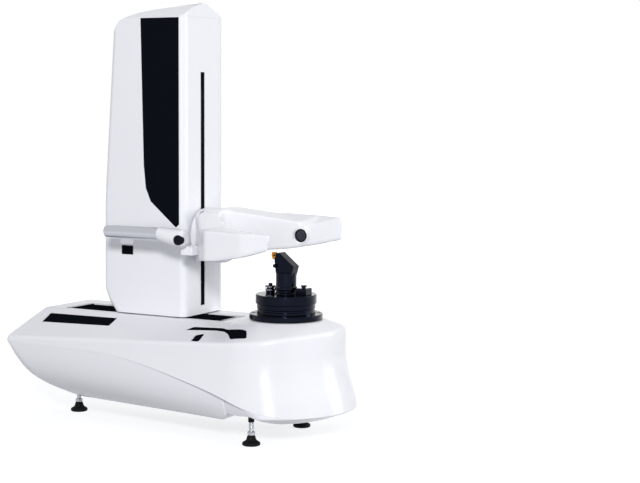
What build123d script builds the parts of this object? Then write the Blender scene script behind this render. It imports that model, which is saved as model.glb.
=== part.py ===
from build123d import *
import math
import os

os.makedirs("parts", exist_ok=True)

# Driving dimensions of the whole machine, in millimetres.
# The origin is on the floor, under the middle of the outer box; X runs towards the spindle.
SPINDLE_X = 228.5
BASE_LEFT = -373.0
BASE_HALF_DEPTH = 158.0
NOSE_CENTRE_X = 189.0
DECK_Z = 235.0
BOSS_Z = 244.0
BOSS_RADIUS = 79.0
BOSS_SLOPE = 0.40
SHELL_WALL = 4.0
LIP_Z = 66.0
LIP_FLARE = 26.0
PAN_FLOOR_Z = 50.0
PAN_RIGHT = 175.0
PAN_WALL = 3.0
SEAM = 0.6
FINE_SEAM = 0.1
BED_TOP_Z = 186.0
OPTIC_AXIS_X = SPINDLE_X - 32.0
OPTIC_AXIS_Z = 404.0

# Travel of the moving groups, measured from the pose in which the machine is drawn.
COLUMN_LEFT_TRAVEL = 170.0
COLUMN_RIGHT_TRAVEL = 35.0
OPTICS_DOWN_TRAVEL = 100.0
OPTICS_UP_TRAVEL = 300.0


def write(piece, name):
    """Labels a finished piece and writes it as its own STEP file."""
    piece.part.label = name
    export_step(piece.part, f"parts/{name}.step")


def block(x, y, z, mode=Mode.ADD):
    """A block between pairs of coordinates, added to or cut from the piece being built."""
    with Locations(((x[0] + x[1]) / 2, (y[0] + y[1]) / 2, (z[0] + z[1]) / 2)):
        Box(x[1] - x[0], y[1] - y[0], z[1] - z[0], mode=mode)


def post(x, y, low, high, radius, mode=Mode.ADD):
    """An upright cylinder between two heights."""
    with Locations((x, y, (low + high) / 2)):
        Cylinder(radius, high - low, mode=mode)


def pin_y(x, z, near, far, radius, mode=Mode.ADD):
    """A cylinder that lies along Y between two depths."""
    with Locations((x, (near + far) / 2, z)):
        Cylinder(radius, far - near, rotation=(90, 0, 0), mode=mode)


def pin_x(y, z, left, right, radius, mode=Mode.ADD):
    """A cylinder that lies along X between two ends."""
    with Locations(((left + right) / 2, y, z)):
        Cylinder(radius, right - left, rotation=(0, 90, 0), mode=mode)


def prism(points, plane, depth, radius=0.0):
    """A polygon on a plane, with its corners rounded if asked, extruded to one side."""
    with BuildPart() as body:
        with BuildSketch(plane) as outline:
            with BuildLine():
                Polyline(*points, close=True)
            make_face()
            if radius > 0:
                fillet(outline.vertices(), radius)
        extrude(amount=depth)
    return body.part


# Base: envelope of the shells

DECK_FRONT_Y = -60.0
DECK_REAR_Y = 95.0
CREASE_Z_LEFT = 181.0
CREASE_Z_RIGHT = 212.0
END_CREASE_Z = 174.0
DECK_LEFT = -341.5
FLARE_BY_HEIGHT = {LIP_Z: LIP_FLARE, 100.0: 18.0, 130.0: 8.0, 165.0: 1.0, 260.0: 0.0}
TRAY_FLARE_BY_HEIGHT = {46.0: 27.0, LIP_Z: LIP_FLARE, 100.0: 18.0, 130.0: 8.0}
FLANK_FLARE_SHARE = 0.45
WAIST = [
    (-417.5, 171.5), (-237.5, 169), (-84.5, 163), (71.5, 131), (193.5, 97), (237.7, 81.3), (285, 70.6),
    (316, 66.8), (349, 67), (432.5, 67),
]
HULL_LEVELS = [
    # height, left end, half depth at the left, half depth at the right, corner radius
    (PAN_FLOOR_Z, -261.5, 72.0, 132.0, 46.0),
    (78.0, -321.5, 112.0, 147.0, 50.0),
    (125.0, -361.5, 148.0, 155.0, 40.0),
    (172.0, BASE_LEFT, BASE_HALF_DEPTH, BASE_HALF_DEPTH, 10.0),
]
HEEL_X = 156.0
HEEL_RISE = 13.0
UNDERCUT_Z = 52.0
UNDERCUT_FLARE = -11.0
TRAY_FLOOR = [(PAN_RIGHT - 40, 64.96), (285, UNDERCUT_Z), (420, UNDERCUT_Z), (420, 140), (PAN_RIGHT - 40, 140)]
FLANK_SPREAD = 0.207


def wall_outline(flare, inset):
    """Plan of the base shell at one height: a square left end and a round nose."""
    half = BASE_HALF_DEPTH - inset
    nose_half = half + FLANK_FLARE_SHARE * flare
    nose_reach = half + flare
    left = BASE_LEFT + inset
    with BuildSketch() as outline:
        with BuildLine():
            Polyline((NOSE_CENTRE_X, nose_half), (left, half), (left, -half), (NOSE_CENTRE_X, -nose_half))
            EllipticalCenterArc(
                (NOSE_CENTRE_X, 0), nose_reach, nose_half, start_angle=-90, arc_size=180
            )
        make_face()
        corners = outline.vertices().group_by(Axis.X)[0]
        fillet(corners, 10)
    return outline.sketch


def wall_body(inset, flare_by_height=FLARE_BY_HEIGHT):
    """Upright walls of the base, flaring outwards towards the lip under the nose."""
    with BuildPart() as body:
        for height, flare in flare_by_height.items():
            with BuildSketch(Plane.XY.offset(height)):
                add(wall_outline(flare, inset))
        loft()
    return body.part


def deck_section(x, inset):
    """Section across the base under its flat deck and its sloping front and rear facets."""
    share = (x - BASE_LEFT) / (SPINDLE_X - BASE_LEFT)
    crease = CREASE_Z_LEFT + share * (CREASE_Z_RIGHT - CREASE_Z_LEFT)
    front_slope = (DECK_Z - crease) / (BASE_HALF_DEPTH + DECK_FRONT_Y)
    rear_slope = (DECK_Z - crease) / (BASE_HALF_DEPTH - DECK_REAR_Y)
    reach = 230.0
    front_end = DECK_Z - inset - front_slope * (reach + DECK_FRONT_Y)
    rear_end = DECK_Z - inset - rear_slope * (reach - DECK_REAR_Y)
    with BuildSketch(Plane.YZ.offset(x)) as section:
        with BuildLine():
            Polyline(
                (-reach, 20), (-reach, front_end), (DECK_FRONT_Y, DECK_Z - inset),
                (DECK_REAR_Y, DECK_Z - inset), (reach, rear_end), (reach, 20), close=True,
            )
        make_face()
    return section.sketch


def top_body(inset):
    """Deck with its facets on the left and the low cone round the spindle on the right."""
    reach = 420.0
    with BuildPart() as body:
        add(loft([deck_section(BASE_LEFT - 40, inset), deck_section(SPINDLE_X, inset)], ruled=True))
        with BuildSketch(Plane.XZ) as cone:
            with BuildLine():
                Polyline(
                    (SPINDLE_X, 20), (SPINDLE_X + reach, 20),
                    (SPINDLE_X + reach, BOSS_Z - inset - BOSS_SLOPE * (reach - BOSS_RADIUS)),
                    (SPINDLE_X + BOSS_RADIUS, BOSS_Z - inset), (SPINDLE_X, BOSS_Z - inset), close=True,
                )
            make_face()
        revolve(axis=Axis((SPINDLE_X, 0, 0), (0, 0, 1)))
    return body.part


def side_body(inset, above_waist, drop=0.0):
    """Everything above or below the waist line, with the raked left end."""
    with BuildPart() as body:
        with BuildSketch(Plane.XZ):
            with BuildLine():
                lowered = [(x, z - drop) for x, z in WAIST]
                Spline(*lowered)
                level = 300 if above_waist else 20
                last = lowered[-1]
                first = lowered[0]
                Polyline(last, (last[0], level), (first[0], level), first)
            make_face()
        extrude(amount=240, both=True)
        with BuildSketch(Plane.XZ):
            with BuildLine():
                Polyline(
                    (BASE_LEFT + inset, 20), (BASE_LEFT + inset, END_CREASE_Z - inset * 0.4),
                    (DECK_LEFT + inset, DECK_Z), (DECK_LEFT + 40, 300), (420, 300), (420, 20), close=True,
                )
            make_face()
        extrude(amount=240, both=True, mode=Mode.INTERSECT)
    return body.part


def hull_body(inset):
    """Boat-shaped lower pan: each level is narrower and shorter than the one above."""
    with BuildPart() as body:
        for height, left, half_left, half_right, corner in HULL_LEVELS:
            raised = height + (inset if height == PAN_FLOOR_Z else 0)
            with BuildSketch(Plane.XY.offset(raised)) as level:
                with BuildLine():
                    Polyline(
                        (PAN_RIGHT - inset, -half_right + inset), (PAN_RIGHT - inset, half_right - inset),
                        (left + inset, half_left - inset), (left + inset, -half_left + inset), close=True,
                    )
                make_face()
                fillet(level.vertices().group_by(Axis.X)[0], corner - inset)
        loft()
        heel = Vector(PAN_RIGHT - HEEL_X, HEEL_RISE)
        lift = Vector(-heel.Y, heel.X).normalized() * inset
        start = Vector(HEEL_X, PAN_FLOOR_Z) + lift - heel
        end = start + heel * 4
        wedge = [(start.X, start.Y), (end.X, end.Y), (end.X, start.Y)]
        add(prism(wedge, Plane.XZ.offset(-200), 400), mode=Mode.SUBTRACT)
    return body.part


def undercut_body(inset):
    """Everything over the sloping underside that runs from the lip back to the tray's floor."""
    steepness = (LIP_Z - UNDERCUT_Z) / (LIP_FLARE - UNDERCUT_FLARE)
    low = UNDERCUT_Z + inset * math.hypot(1, steepness)
    reach = 90.0
    with BuildPart() as body:
        for height, flare in ((low, UNDERCUT_FLARE), (low + reach * steepness, UNDERCUT_FLARE + reach)):
            with BuildSketch(Plane.XY.offset(height)):
                add(wall_outline(flare, 0))
        loft(ruled=True)
    return body.part


def flank_body(inset):
    """The sides of the pan, carried on to the right and slowly spreading."""
    with BuildPart() as body:
        for run in (-20.0, 240.0):
            side = [
                (half_right + run * FLANK_SPREAD - inset, height) for height, _, _, half_right, _ in HULL_LEVELS
            ]
            other_side = [(-y, z) for y, z in side]
            with BuildSketch(Plane.YZ.offset(PAN_RIGHT + run)):
                with BuildLine():
                    Spline(*side)
                    Spline(*other_side)
                    Line(side[0], other_side[0])
                    Line(side[-1], other_side[-1])
                make_face()
        loft(ruled=True)
    return body.part


def tray_body(inset):
    """Shallow tray under the round nose, undercut all round below the lip."""
    floor = [(x, z + inset if z < 100 else z) for x, z in TRAY_FLOOR]
    body = wall_body(inset, TRAY_FLARE_BY_HEIGHT) & undercut_body(inset) & flank_body(inset)
    body = body & prism(floor, Plane.XZ.offset(-200), 400)
    with BuildPart() as right_part:
        add(body)
        block((0, PAN_RIGHT + SEAM + inset), (-220, 220), (20, 200), Mode.SUBTRACT)
    return right_part.part


# Base: shells and inlays

INLAY_DEPTH = 1.2
INLAY_THICK = 1.5
INLAY_PLAY = 0.2
BAND_LEFT = -299.5
BAND_RIGHT = 107.5
BAND_OPENING_HALF = 46.0
NAME_PLATE = (-314.5, -137.5, -107.0, -76.0)
PANEL_ARCH = [
    (50.5, -105), (62.5, -87), (127, -83), (188, -101), (201, -108.5), (219, -137.5), (183, -140.5),
    (163, -117), (145, -102), (121.5, -98.5),
]
PANEL_TAB = [(90.5, -122), (96.5, -150), (115.5, -152), (109, -124), (103.5, -113)]
HOUSING_HOLE = 70.6
BED_WINDOW_Y = (-114.0, 114.0)
BED_WINDOW_Z = (65.0, 200.0)
FOOT_PLACES = [(-299.5, 0.0), (208.5, -102.0), (208.5, 102.0)]
STUD_HOLE = 8.0
SOCKET_PANEL_X = (96.0, 176.0)
SOCKET_PANEL_Z = (140.0, 184.0)


def plate_outline(grow):
    """Plan of the bare plate in the left part of the front facet."""
    left, right, front, rear = NAME_PLATE
    with BuildSketch() as outline:
        with Locations(((left + right) / 2, (front + rear) / 2)):
            RectangleRounded(right - left + 2 * grow, rear - front + 2 * grow, 2.0)
    return outline.sketch


def arch_outline(grow):
    """Plan of the arch-shaped control inlay and of its small separate tab."""
    with BuildSketch() as outline:
        for points in (PANEL_ARCH, PANEL_TAB):
            with BuildSketch(mode=Mode.PRIVATE) as island:
                with BuildLine():
                    Polyline(*points, close=True)
                make_face()
                fillet(island.vertices(), 3.0)
                if grow > 0:
                    offset(amount=grow)
            add(island.sketch)
    return outline.sketch


def column_of(outline_sketch, low, high):
    """An upright prism over a plan outline."""
    with BuildPart() as body:
        with BuildSketch(Plane.XY.offset(low)):
            add(outline_sketch)
        extrude(amount=high - low)
    return body.part


def pocket(outline_sketch):
    """The space that an inlay needs in the skin, from above the surface down to its floor."""
    return column_of(outline_sketch, 150, 260) - top_body(INLAY_DEPTH + INLAY_THICK)


def inlay(outline_sketch):
    """A plate that follows the sloping skin, sunk a little under it."""
    layer = top_body(INLAY_DEPTH) - top_body(INLAY_DEPTH + INLAY_THICK)
    return column_of(outline_sketch, 150, 260) & layer


with BuildPart() as base_cover:
    add(wall_body(0) & top_body(0) & side_body(0, True))
    add(wall_body(SHELL_WALL) & top_body(SHELL_WALL) & side_body(SHELL_WALL, True, 10), mode=Mode.SUBTRACT)
    block((BAND_LEFT, BAND_RIGHT), (-BAND_OPENING_HALF, BAND_OPENING_HALF), (215, 260), Mode.SUBTRACT)
    post(SPINDLE_X, 0, 200, 260, HOUSING_HOLE, Mode.SUBTRACT)
    add(pocket(plate_outline(INLAY_PLAY)), mode=Mode.SUBTRACT)
    add(pocket(arch_outline(INLAY_PLAY)), mode=Mode.SUBTRACT)
    block(SOCKET_PANEL_X, (130, 180), SOCKET_PANEL_Z, Mode.SUBTRACT)
write(base_cover, "base_cover")

with BuildPart() as name_plate:
    add(inlay(plate_outline(0)))
write(name_plate, "name_plate")

with BuildPart() as control_inlay:
    add(inlay(arch_outline(0)))
write(control_inlay, "control_inlay")

with BuildPart() as base_pan:
    add(hull_body(0) & side_body(0, False, SEAM))
    add(hull_body(PAN_WALL), mode=Mode.SUBTRACT)
    post(*FOOT_PLACES[0], 30, 110, STUD_HOLE, Mode.SUBTRACT)
    block((100, PAN_RIGHT + 10), BED_WINDOW_Y, BED_WINDOW_Z, Mode.SUBTRACT)
write(base_pan, "base_pan")

tray_room = tray_body(PAN_WALL)
with BuildPart() as nose_pan:
    add(tray_body(0) & side_body(0, False, SEAM))
    add(tray_room, mode=Mode.SUBTRACT)
    block((PAN_RIGHT - 10, PAN_RIGHT + 10), BED_WINDOW_Y, BED_WINDOW_Z, Mode.SUBTRACT)
    for foot_x, foot_y in FOOT_PLACES[1:]:
        post(foot_x, foot_y, 30, 80, STUD_HOLE, Mode.SUBTRACT)
write(nose_pan, "nose_pan")


# Base: bed, feet and ways

RAIL_Y = 34.0
RAIL_SIZE = 15.0
RAIL_SPAN = (-323.5, 88.5)
BED_HOLE = 66.1
BED_POCKETS = [(-236, -152), (-142, -58), (-48, 36), (46, 130)]


with BuildPart() as base_bed:
    side = [
        (-240, 66), (160, 66), (160, BED_TOP_Z), (-332.5, BED_TOP_Z), (-332.5, 150), (-312, 92), (-280, 92),
    ]
    add(prism(side, Plane.XZ.offset(-62), 124))
    block((112, 228.5), (-112, 112), (66, BED_TOP_Z))
    post(SPINDLE_X, 0, 66, BED_TOP_Z, 108)
    for left, right in BED_POCKETS:
        block((left, right), (-50, 50), (60, 162), Mode.SUBTRACT)
    for near, far in ((-104, -72), (72, 104)):
        block((120, 186), (near, far), (60, 172), Mode.SUBTRACT)
    post(SPINDLE_X, 0, 60, 190, BED_HOLE, Mode.SUBTRACT)
    for foot_x, foot_y in FOOT_PLACES:
        post(foot_x, foot_y, 60, 120, 4.8, Mode.SUBTRACT)
write(base_bed, "base_bed")

with BuildPart() as x_rails:
    for rail_y in (-RAIL_Y, RAIL_Y):
        block(RAIL_SPAN, (rail_y - 7.5, rail_y + 7.5), (BED_TOP_Z, BED_TOP_Z + RAIL_SIZE))
        for groove_y in (rail_y - 7.5, rail_y + 7.5):
            block(RAIL_SPAN, (groove_y - 1.6, groove_y + 1.6), (193, 196.5), Mode.SUBTRACT)
write(x_rails, "x_rails")

with BuildPart() as x_scale:
    block(RAIL_SPAN, (-6, 6), (BED_TOP_Z, BED_TOP_Z + 1.5))
write(x_scale, "x_scale")

with BuildPart() as way_band:
    block((BAND_LEFT, BAND_RIGHT), (-40, 40), (232, 232.8))
write(way_band, "way_band")

with BuildPart() as band_clamps:
    for end_x, inwards in ((BAND_LEFT, 12), (BAND_RIGHT, -12)):
        near, far = sorted((end_x, end_x + inwards))
        block((near, far), (-40, 40), (232.8, DECK_Z))
        block((near, far), (-38, 38), (228.6, 232))
        near, far = sorted((end_x - inwards, end_x))
        block((near, far), (-38, 38), (228.6, DECK_Z - SHELL_WALL))
        for screw_y in (-26, 26):
            post(end_x + inwards / 2, screw_y, 233.4, 236, 3.2, Mode.SUBTRACT)
write(band_clamps, "band_clamps")

with BuildPart() as band_screws:
    for screw_x in (BAND_LEFT + 6, BAND_RIGHT - 6):
        for screw_y in (-26, 26):
            post(screw_x, screw_y, 233.4, DECK_Z, 3.0)
            with BuildSketch(Plane.XY.offset(DECK_Z)):
                with Locations((screw_x, screw_y)):
                    RegularPolygon(1.5, 6)
            extrude(amount=-1.0, mode=Mode.SUBTRACT)
write(band_screws, "band_screws")

with BuildPart() as base_spacers:
    for post_x in (-300, -160, -20, 100):
        for post_y in (-57.5, 57.5):
            post(post_x, post_y, BED_TOP_Z, 250, 4)
    for post_x, post_y in ((150, -96), (150, 96), (318, 40), (318, -40)):
        post(post_x, post_y, BED_TOP_Z, 250, 6)
    add(top_body(SHELL_WALL), mode=Mode.INTERSECT)
    add(base_cover.part, mode=Mode.SUBTRACT)
    for post_x in (-200, -50, 100):
        for post_y in (-56, 56):
            post(post_x, post_y, PAN_FLOOR_Z + PAN_WALL, 66, 5)
    with BuildPart(mode=Mode.PRIVATE) as tray_posts:
        for post_x, post_y in ((195, -60), (195, 60), (320, 30), (320, -30)):
            post(post_x, post_y, PAN_FLOOR_Z, 66, 6)
    add(tray_posts.part & tray_room)
write(base_spacers, "base_spacers")

FOOT_PAD_RADIUS = 19.0


with BuildPart() as foot_pads:
    for foot_x, foot_y in FOOT_PLACES:
        with Locations((foot_x, foot_y, 3.5)):
            Cylinder(FOOT_PAD_RADIUS, 7)
        with Locations((foot_x, foot_y, 13.5)):
            Cone(18.0, 8.5, 13)
        post(foot_x, foot_y, 14, 25, 4.9, Mode.SUBTRACT)
write(foot_pads, "foot_pads")

with BuildPart() as foot_studs:
    for foot_x, foot_y in FOOT_PLACES:
        post(foot_x, foot_y, 14, 116, 4.75)
    for nut_z in (21, 52):
        places = FOOT_PLACES if nut_z < 50 else FOOT_PLACES[:1]
        with BuildSketch(Plane.XY.offset(nut_z)):
            with Locations(*places):
                RegularPolygon(8.5, 6)
                Circle(4.8, mode=Mode.SUBTRACT)
        extrude(amount=6)
write(foot_studs, "foot_studs")

with BuildPart() as foot_collars:
    for foot_x, foot_y in FOOT_PLACES[1:]:
        post(foot_x, foot_y, 47, 64, 6.2)
        post(foot_x, foot_y, 40, 70, 4.8, Mode.SUBTRACT)
write(foot_collars, "foot_collars")

with BuildPart() as socket_panel:
    block((92, 180), (151, 154), (136, 188))
    block((104, 132), (140, 160), (150, 172), Mode.SUBTRACT)
    for socket_x in (144, 163):
        block((socket_x, socket_x + 10), (140, 160), (156, 166), Mode.SUBTRACT)
write(socket_panel, "socket_panel")

with BuildPart() as rear_sockets:
    block((104.1, 131.9), (132, 153.6), (150.1, 171.9))
    block((106.5, 129.5), (138, 160), (152.5, 169.5), Mode.SUBTRACT)
    for pin_x_place, pin_z in ((112, 163), (118, 158), (124, 163)):
        block((pin_x_place - 1, pin_x_place + 1), (138, 151), (pin_z - 2, pin_z + 2))
    for socket_x in (144, 163):
        block((socket_x + 0.1, socket_x + 9.9), (134, 153.4), (156.1, 165.9))
        block((socket_x + 1.6, socket_x + 8.4), (140, 160), (158.4, 163.6), Mode.SUBTRACT)
        block((socket_x + 3, socket_x + 7), (140, 151), (160.2, 161.8))
write(rear_sockets, "rear_sockets")


# Base: spindle

ROTOR_RADIUS = 48.0
FLANGE_RADIUS = 75.0
FLANGE_Z = (244.8, 256.0)
TAPER_RATIO = 7 / 24
TAPER_MOUTH = 69.85 / 2
RUNNING_FIT = 0.05
CLAMP_SCREW_X = SPINDLE_X - 37
CLAMP_BLOCK_X = SPINDLE_X + 41
CLAMP_STUD_RADIUS = 4.0


def turned(profile, centre_x=SPINDLE_X):
    """A solid of revolution about an upright axis from points (radius, height)."""
    with BuildPart() as body:
        with BuildSketch(Plane.XZ):
            with BuildLine():
                Polyline(*[(centre_x + radius, height) for radius, height in profile], close=True)
            make_face()
        revolve(axis=Axis((centre_x, 0, 0), (0, 0, 1)))
    return body.part


with BuildPart() as spindle_housing:
    add(turned([
        (60, 104), (66, 104), (66, BED_TOP_Z), (86, BED_TOP_Z), (86, 198), (66, 198), (66, 239), (60, 239),
    ]))
    add(turned([(20, 104), (60, 104), (60, 112), (20, 112)]))
write(spindle_housing, "spindle_housing")

with BuildPart() as spindle_bearings:
    for low in (118, 212):
        inner = ROTOR_RADIUS + RUNNING_FIT
        add(turned([(inner, low), (60, low), (60, low + 18), (inner, low + 18)]))
write(spindle_bearings, "spindle_bearings")

TAPER_LENGTH = 101.75
with BuildPart() as spindle_rotor:
    add(turned([
        (0, 116), (ROTOR_RADIUS, 116), (ROTOR_RADIUS, 241.5), (58, 241.5), (58, FLANGE_Z[0]),
        (FLANGE_RADIUS - 1, FLANGE_Z[0]), (FLANGE_RADIUS, FLANGE_Z[0] + 1), (FLANGE_RADIUS, FLANGE_Z[1] - 1.5),
        (FLANGE_RADIUS - 1.5, FLANGE_Z[1]), (0, FLANGE_Z[1]),
    ]))
    add(turned([
        (0, 140), (13, 140), (13, FLANGE_Z[1] - TAPER_LENGTH),
        (TAPER_MOUTH - TAPER_LENGTH * TAPER_RATIO / 2, FLANGE_Z[1] - TAPER_LENGTH),
        (TAPER_MOUTH, FLANGE_Z[1]), (TAPER_MOUTH, FLANGE_Z[1] + 5), (0, FLANGE_Z[1] + 5),
    ]), mode=Mode.SUBTRACT)
    with Locations((SPINDLE_X, 0, FLANGE_Z[1])):
        with PolarLocations(66, 6, start_angle=30):
            CounterBoreHole(3.3, 4.8, 5.2, depth=9)
write(spindle_rotor, "spindle_rotor")

with BuildPart() as spindle_screws:
    with Locations((SPINDLE_X, 0, FLANGE_Z[1] - 2.9)):
        with PolarLocations(66, 6, start_angle=30):
            Cylinder(4.6, 4.6)
    with BuildSketch(Plane.XY.offset(FLANGE_Z[1] - 0.6)):
        with Locations((SPINDLE_X, 0)):
            with PolarLocations(66, 6, start_angle=30):
                RegularPolygon(2.4, 6)
    extrude(amount=-2.4, mode=Mode.SUBTRACT)
    stud = CLAMP_STUD_RADIUS
    add(turned([
        (0, 285), (stud, 285), (stud, 295.05), (9.5, 295.05), (9.5, 299), (11, 300), (11, 303), (7.5, 304),
        (7.5, 305), (11, 306), (11, 309), (9.5, 310), (stud, 310), (stud, 314), (3, 315), (0, 315),
    ], CLAMP_SCREW_X))
write(spindle_screws, "spindle_screws")

ADAPTER_BORE_TOP = 16.0
ADAPTER_BORE_LOW = 12.6
ADAPTER_TOP_Z = 295.0
with BuildPart() as adapter:
    taper_end = FLANGE_Z[1] - 96
    add(turned([
        (0, taper_end), (TAPER_MOUTH - 96 * TAPER_RATIO / 2, taper_end), (TAPER_MOUTH, FLANGE_Z[1]),
        (60, FLANGE_Z[1]), (60, 262), (58.6, 263), (58.6, 266), (60, 267), (60, 276),
        (62.5, 277), (62.5, ADAPTER_TOP_Z - 1.5), (61, ADAPTER_TOP_Z), (0, ADAPTER_TOP_Z),
    ]))
    add(turned([
        (0, 246), (ADAPTER_BORE_LOW, 246), (ADAPTER_BORE_TOP, 290), (23.4, 290), (23.4, 300), (0, 300),
    ]), mode=Mode.SUBTRACT)
    for stud_x in (CLAMP_SCREW_X, CLAMP_BLOCK_X):
        post(stud_x, 0, 284, 300, CLAMP_STUD_RADIUS + RUNNING_FIT, Mode.SUBTRACT)
write(adapter, "adapter")

with BuildPart() as clamp_block:
    block((CLAMP_BLOCK_X - 13, CLAMP_BLOCK_X + 12), (-12, 12), (295.05, 309))
    chamfer(clamp_block.edges().filter_by(Axis.Y).group_by(Axis.Z)[-1], 1.5)
    post(CLAMP_BLOCK_X, 0, 285, 312, CLAMP_STUD_RADIUS)
    post(CLAMP_BLOCK_X, 0, 312, 315, 6.2)
write(clamp_block, "clamp_block")


# The tool that stands in the spindle

TOOL_X = SPINDLE_X
INSERT_SCREW = (22.8, 373.0)

with BuildPart() as tool_holder:
    add(turned([
        (0, 250), (ADAPTER_BORE_LOW + (250 - 246) * 3.4 / 44 - 0.05, 250),
        (ADAPTER_BORE_TOP - 0.05, 290.05), (21, 290.05), (21, 290.4),
        (23, 291.4), (23, 296), (20.5, 298.5), (20.5, 302), (23, 304.5), (23, 309), (21, 310.5),
        (21, 338), (0, 338),
    ]))
    shape = [(-17.5, 330), (17.5, 330), (23.5, 352), (-10, 379), (-23, 377)]
    add(prism([(TOOL_X + x, z) for x, z in shape], Plane.XZ.offset(-11), 22))
    notch = [(-40, 364), (-24.2, 364), (-19.7, 368.9), (-17.7, 384), (-40, 384)]
    add(prism([(TOOL_X + x, z) for x, z in notch], Plane.XZ.offset(5), 12), mode=Mode.SUBTRACT)
    pin_y(TOOL_X - 19, 352, -14, -4, 4.0)
    with Locations((TOOL_X - 19, -14, 352)):
        Sphere(4.0)
    pin_y(TOOL_X - INSERT_SCREW[0], INSERT_SCREW[1], -10.2, -5, 2.0)
    with BuildSketch(Plane.XZ.offset(10.2)):
        with Locations((TOOL_X - INSERT_SCREW[0], INSERT_SCREW[1])):
            RegularPolygon(1.1, 6)
    extrude(amount=-2, mode=Mode.SUBTRACT)
write(tool_holder, "tool_holder")

with BuildPart() as tool_insert:
    shape = [(-29.3, 373.5), (-27.5, 379.5), (-18.5, 379.5), (-20, 369.2), (-24.6, 364.5), (-26.5, 364.5)]
    add(prism([(TOOL_X + x, z) for x, z in shape], Plane.XZ.offset(5), 4.8))
    pin_y(TOOL_X - INSERT_SCREW[0], INSERT_SCREW[1], -10.5, -4, 2.1, Mode.SUBTRACT)
write(tool_insert, "tool_insert")


# Column: covers

COLUMN_RIGHT = 16.5
COLUMN_FRONT_Y = -54.0
COLUMN_REAR_Y = 104.0
COLUMN_BOTTOM_Z = 237.0
COLUMN_WALL = 3.0
COLUMN_SPLIT_Y = 76.0
CAP_Z = 856.0
SLOT_Y = 16.0
SLOT_HALF = 8.0
SLOT_SPAN_Z = (255.5, 743.5)
NECK_HALF = 4.8
FRONT_EDGE_RADIUS = 14.0
REAR_EDGE_RADIUS = 24.0
ALL_X = (-260, 60)
ALL_Y = (-90, 140)
ROOF_SIDE = [
    (-110, 180), (-110, 821), (-80, 840.7), (-30, 872), (20, 886), (34, 883.5), (58, 873.5), (88, 860.5),
    (118, 836), (140, 805), (140, 180),
]


def column_envelope(inset):
    """The slim tower with a raked left face, rounded upright edges and a faceted roof."""
    front = COLUMN_FRONT_Y + inset
    rear = COLUMN_REAR_Y - inset
    right = COLUMN_RIGHT - inset
    with BuildPart() as body:
        with BuildSketch(Plane.XZ.offset(-rear)) as face:
            with BuildLine():
                Polyline(
                    (right, 200), (right, 920), (-159.5 + inset, 920), (-190.5 + inset, 470),
                    (-192 + inset, 286), (-182 + inset, 262), (-140 + inset, 205), (-140 + inset, 200),
                    close=True,
                )
            make_face()
            soft = [v for v in face.vertices() if v.X < -170]
            fillet(soft, 14)
        extrude(amount=rear - front)
        uprights = [e for e in body.edges() if abs(e.center().Y - front) < 0.1 and e.center().Z > 210]
        uprights = [e for e in uprights if e.center().Z < 900]
        fillet(uprights, FRONT_EDGE_RADIUS - inset)
        uprights = [e for e in body.edges() if abs(e.center().Y - rear) < 0.1 and e.center().Z > 210]
        uprights = [e for e in uprights if e.center().Z < 900]
        fillet(uprights, REAR_EDGE_RADIUS - inset)
        with BuildSketch(Plane.XZ):
            with BuildLine():
                Polyline(
                    (60, COLUMN_BOTTOM_Z), (60, 894.7 - inset), (-104.5, 866 - inset), (-146.5, 849 - inset),
                    (-168, 819 - inset), (-240, 819 - inset), (-240, COLUMN_BOTTOM_Z), close=True,
                )
            make_face()
        extrude(amount=200, both=True, mode=Mode.INTERSECT)
        with BuildSketch(Plane.YZ):
            with BuildLine():
                Polyline(*ROOF_SIDE, close=True)
            make_face()
            if inset > 0:
                offset(amount=-inset, kind=Kind.INTERSECTION)
        extrude(amount=300, both=True, mode=Mode.INTERSECT)
    return body.part


STRIPE = [
    (3.5, 853.5), (3.5, 430), (-4.5, 423), (-67.5, 475), (-79.5, 502), (-84.5, 550), (-91.5, 853.5),
]
STRIPE_DEPTH = 0.2
STRIPE_THICK = 1.2


def stripe_prism(grow):
    """A prism through the front face over the outline of the dark stripe."""
    with BuildPart() as body:
        with BuildSketch(Plane.XZ.offset(-COLUMN_FRONT_Y - 20)) as outline:
            with BuildLine():
                Polyline(*STRIPE, close=True)
            make_face()
            if grow > 0:
                offset(amount=grow, kind=Kind.INTERSECTION)
        extrude(amount=40)
    return body.part


tower = column_envelope(0)
hollow = column_envelope(COLUMN_WALL)
sunk = column_envelope(STRIPE_DEPTH)
floor_of_stripe = column_envelope(STRIPE_DEPTH + STRIPE_THICK)

SWITCH_X = (-141.5, -112.5)
SWITCH_Z = (361.0, 380.0)
LABEL_X = (-144.5, -111.5)
LABEL_Z = (383.0, 393.5)

with BuildPart() as column_cover:
    add(tower)
    add(hollow, mode=Mode.SUBTRACT)
    block(ALL_X, ALL_Y, (150, COLUMN_BOTTOM_Z), Mode.SUBTRACT)
    block(ALL_X, ALL_Y, (CAP_Z, 920), Mode.SUBTRACT)
    block(ALL_X, (COLUMN_SPLIT_Y, ALL_Y[1]), (150, 920), Mode.SUBTRACT)
    block((-20, 60), (SLOT_Y - SLOT_HALF, SLOT_Y + SLOT_HALF), SLOT_SPAN_Z, Mode.SUBTRACT)
    add(stripe_prism(INLAY_PLAY) - floor_of_stripe, mode=Mode.SUBTRACT)
    block(SWITCH_X, (-80, -40), SWITCH_Z, Mode.SUBTRACT)
write(column_cover, "column_cover")

with BuildPart() as column_rear_cover:
    add(tower)
    add(hollow, mode=Mode.SUBTRACT)
    block(ALL_X, ALL_Y, (150, COLUMN_BOTTOM_Z), Mode.SUBTRACT)
    block(ALL_X, ALL_Y, (CAP_Z, 920), Mode.SUBTRACT)
    block(ALL_X, (ALL_Y[0], COLUMN_SPLIT_Y + SEAM), (150, 920), Mode.SUBTRACT)
    for slat in range(8):
        low = 300 + slat * 12
        block((-120, -40), (COLUMN_REAR_Y - 10, COLUMN_REAR_Y + 10), (low, low + 5), Mode.SUBTRACT)
write(column_rear_cover, "column_rear_cover")

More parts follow.
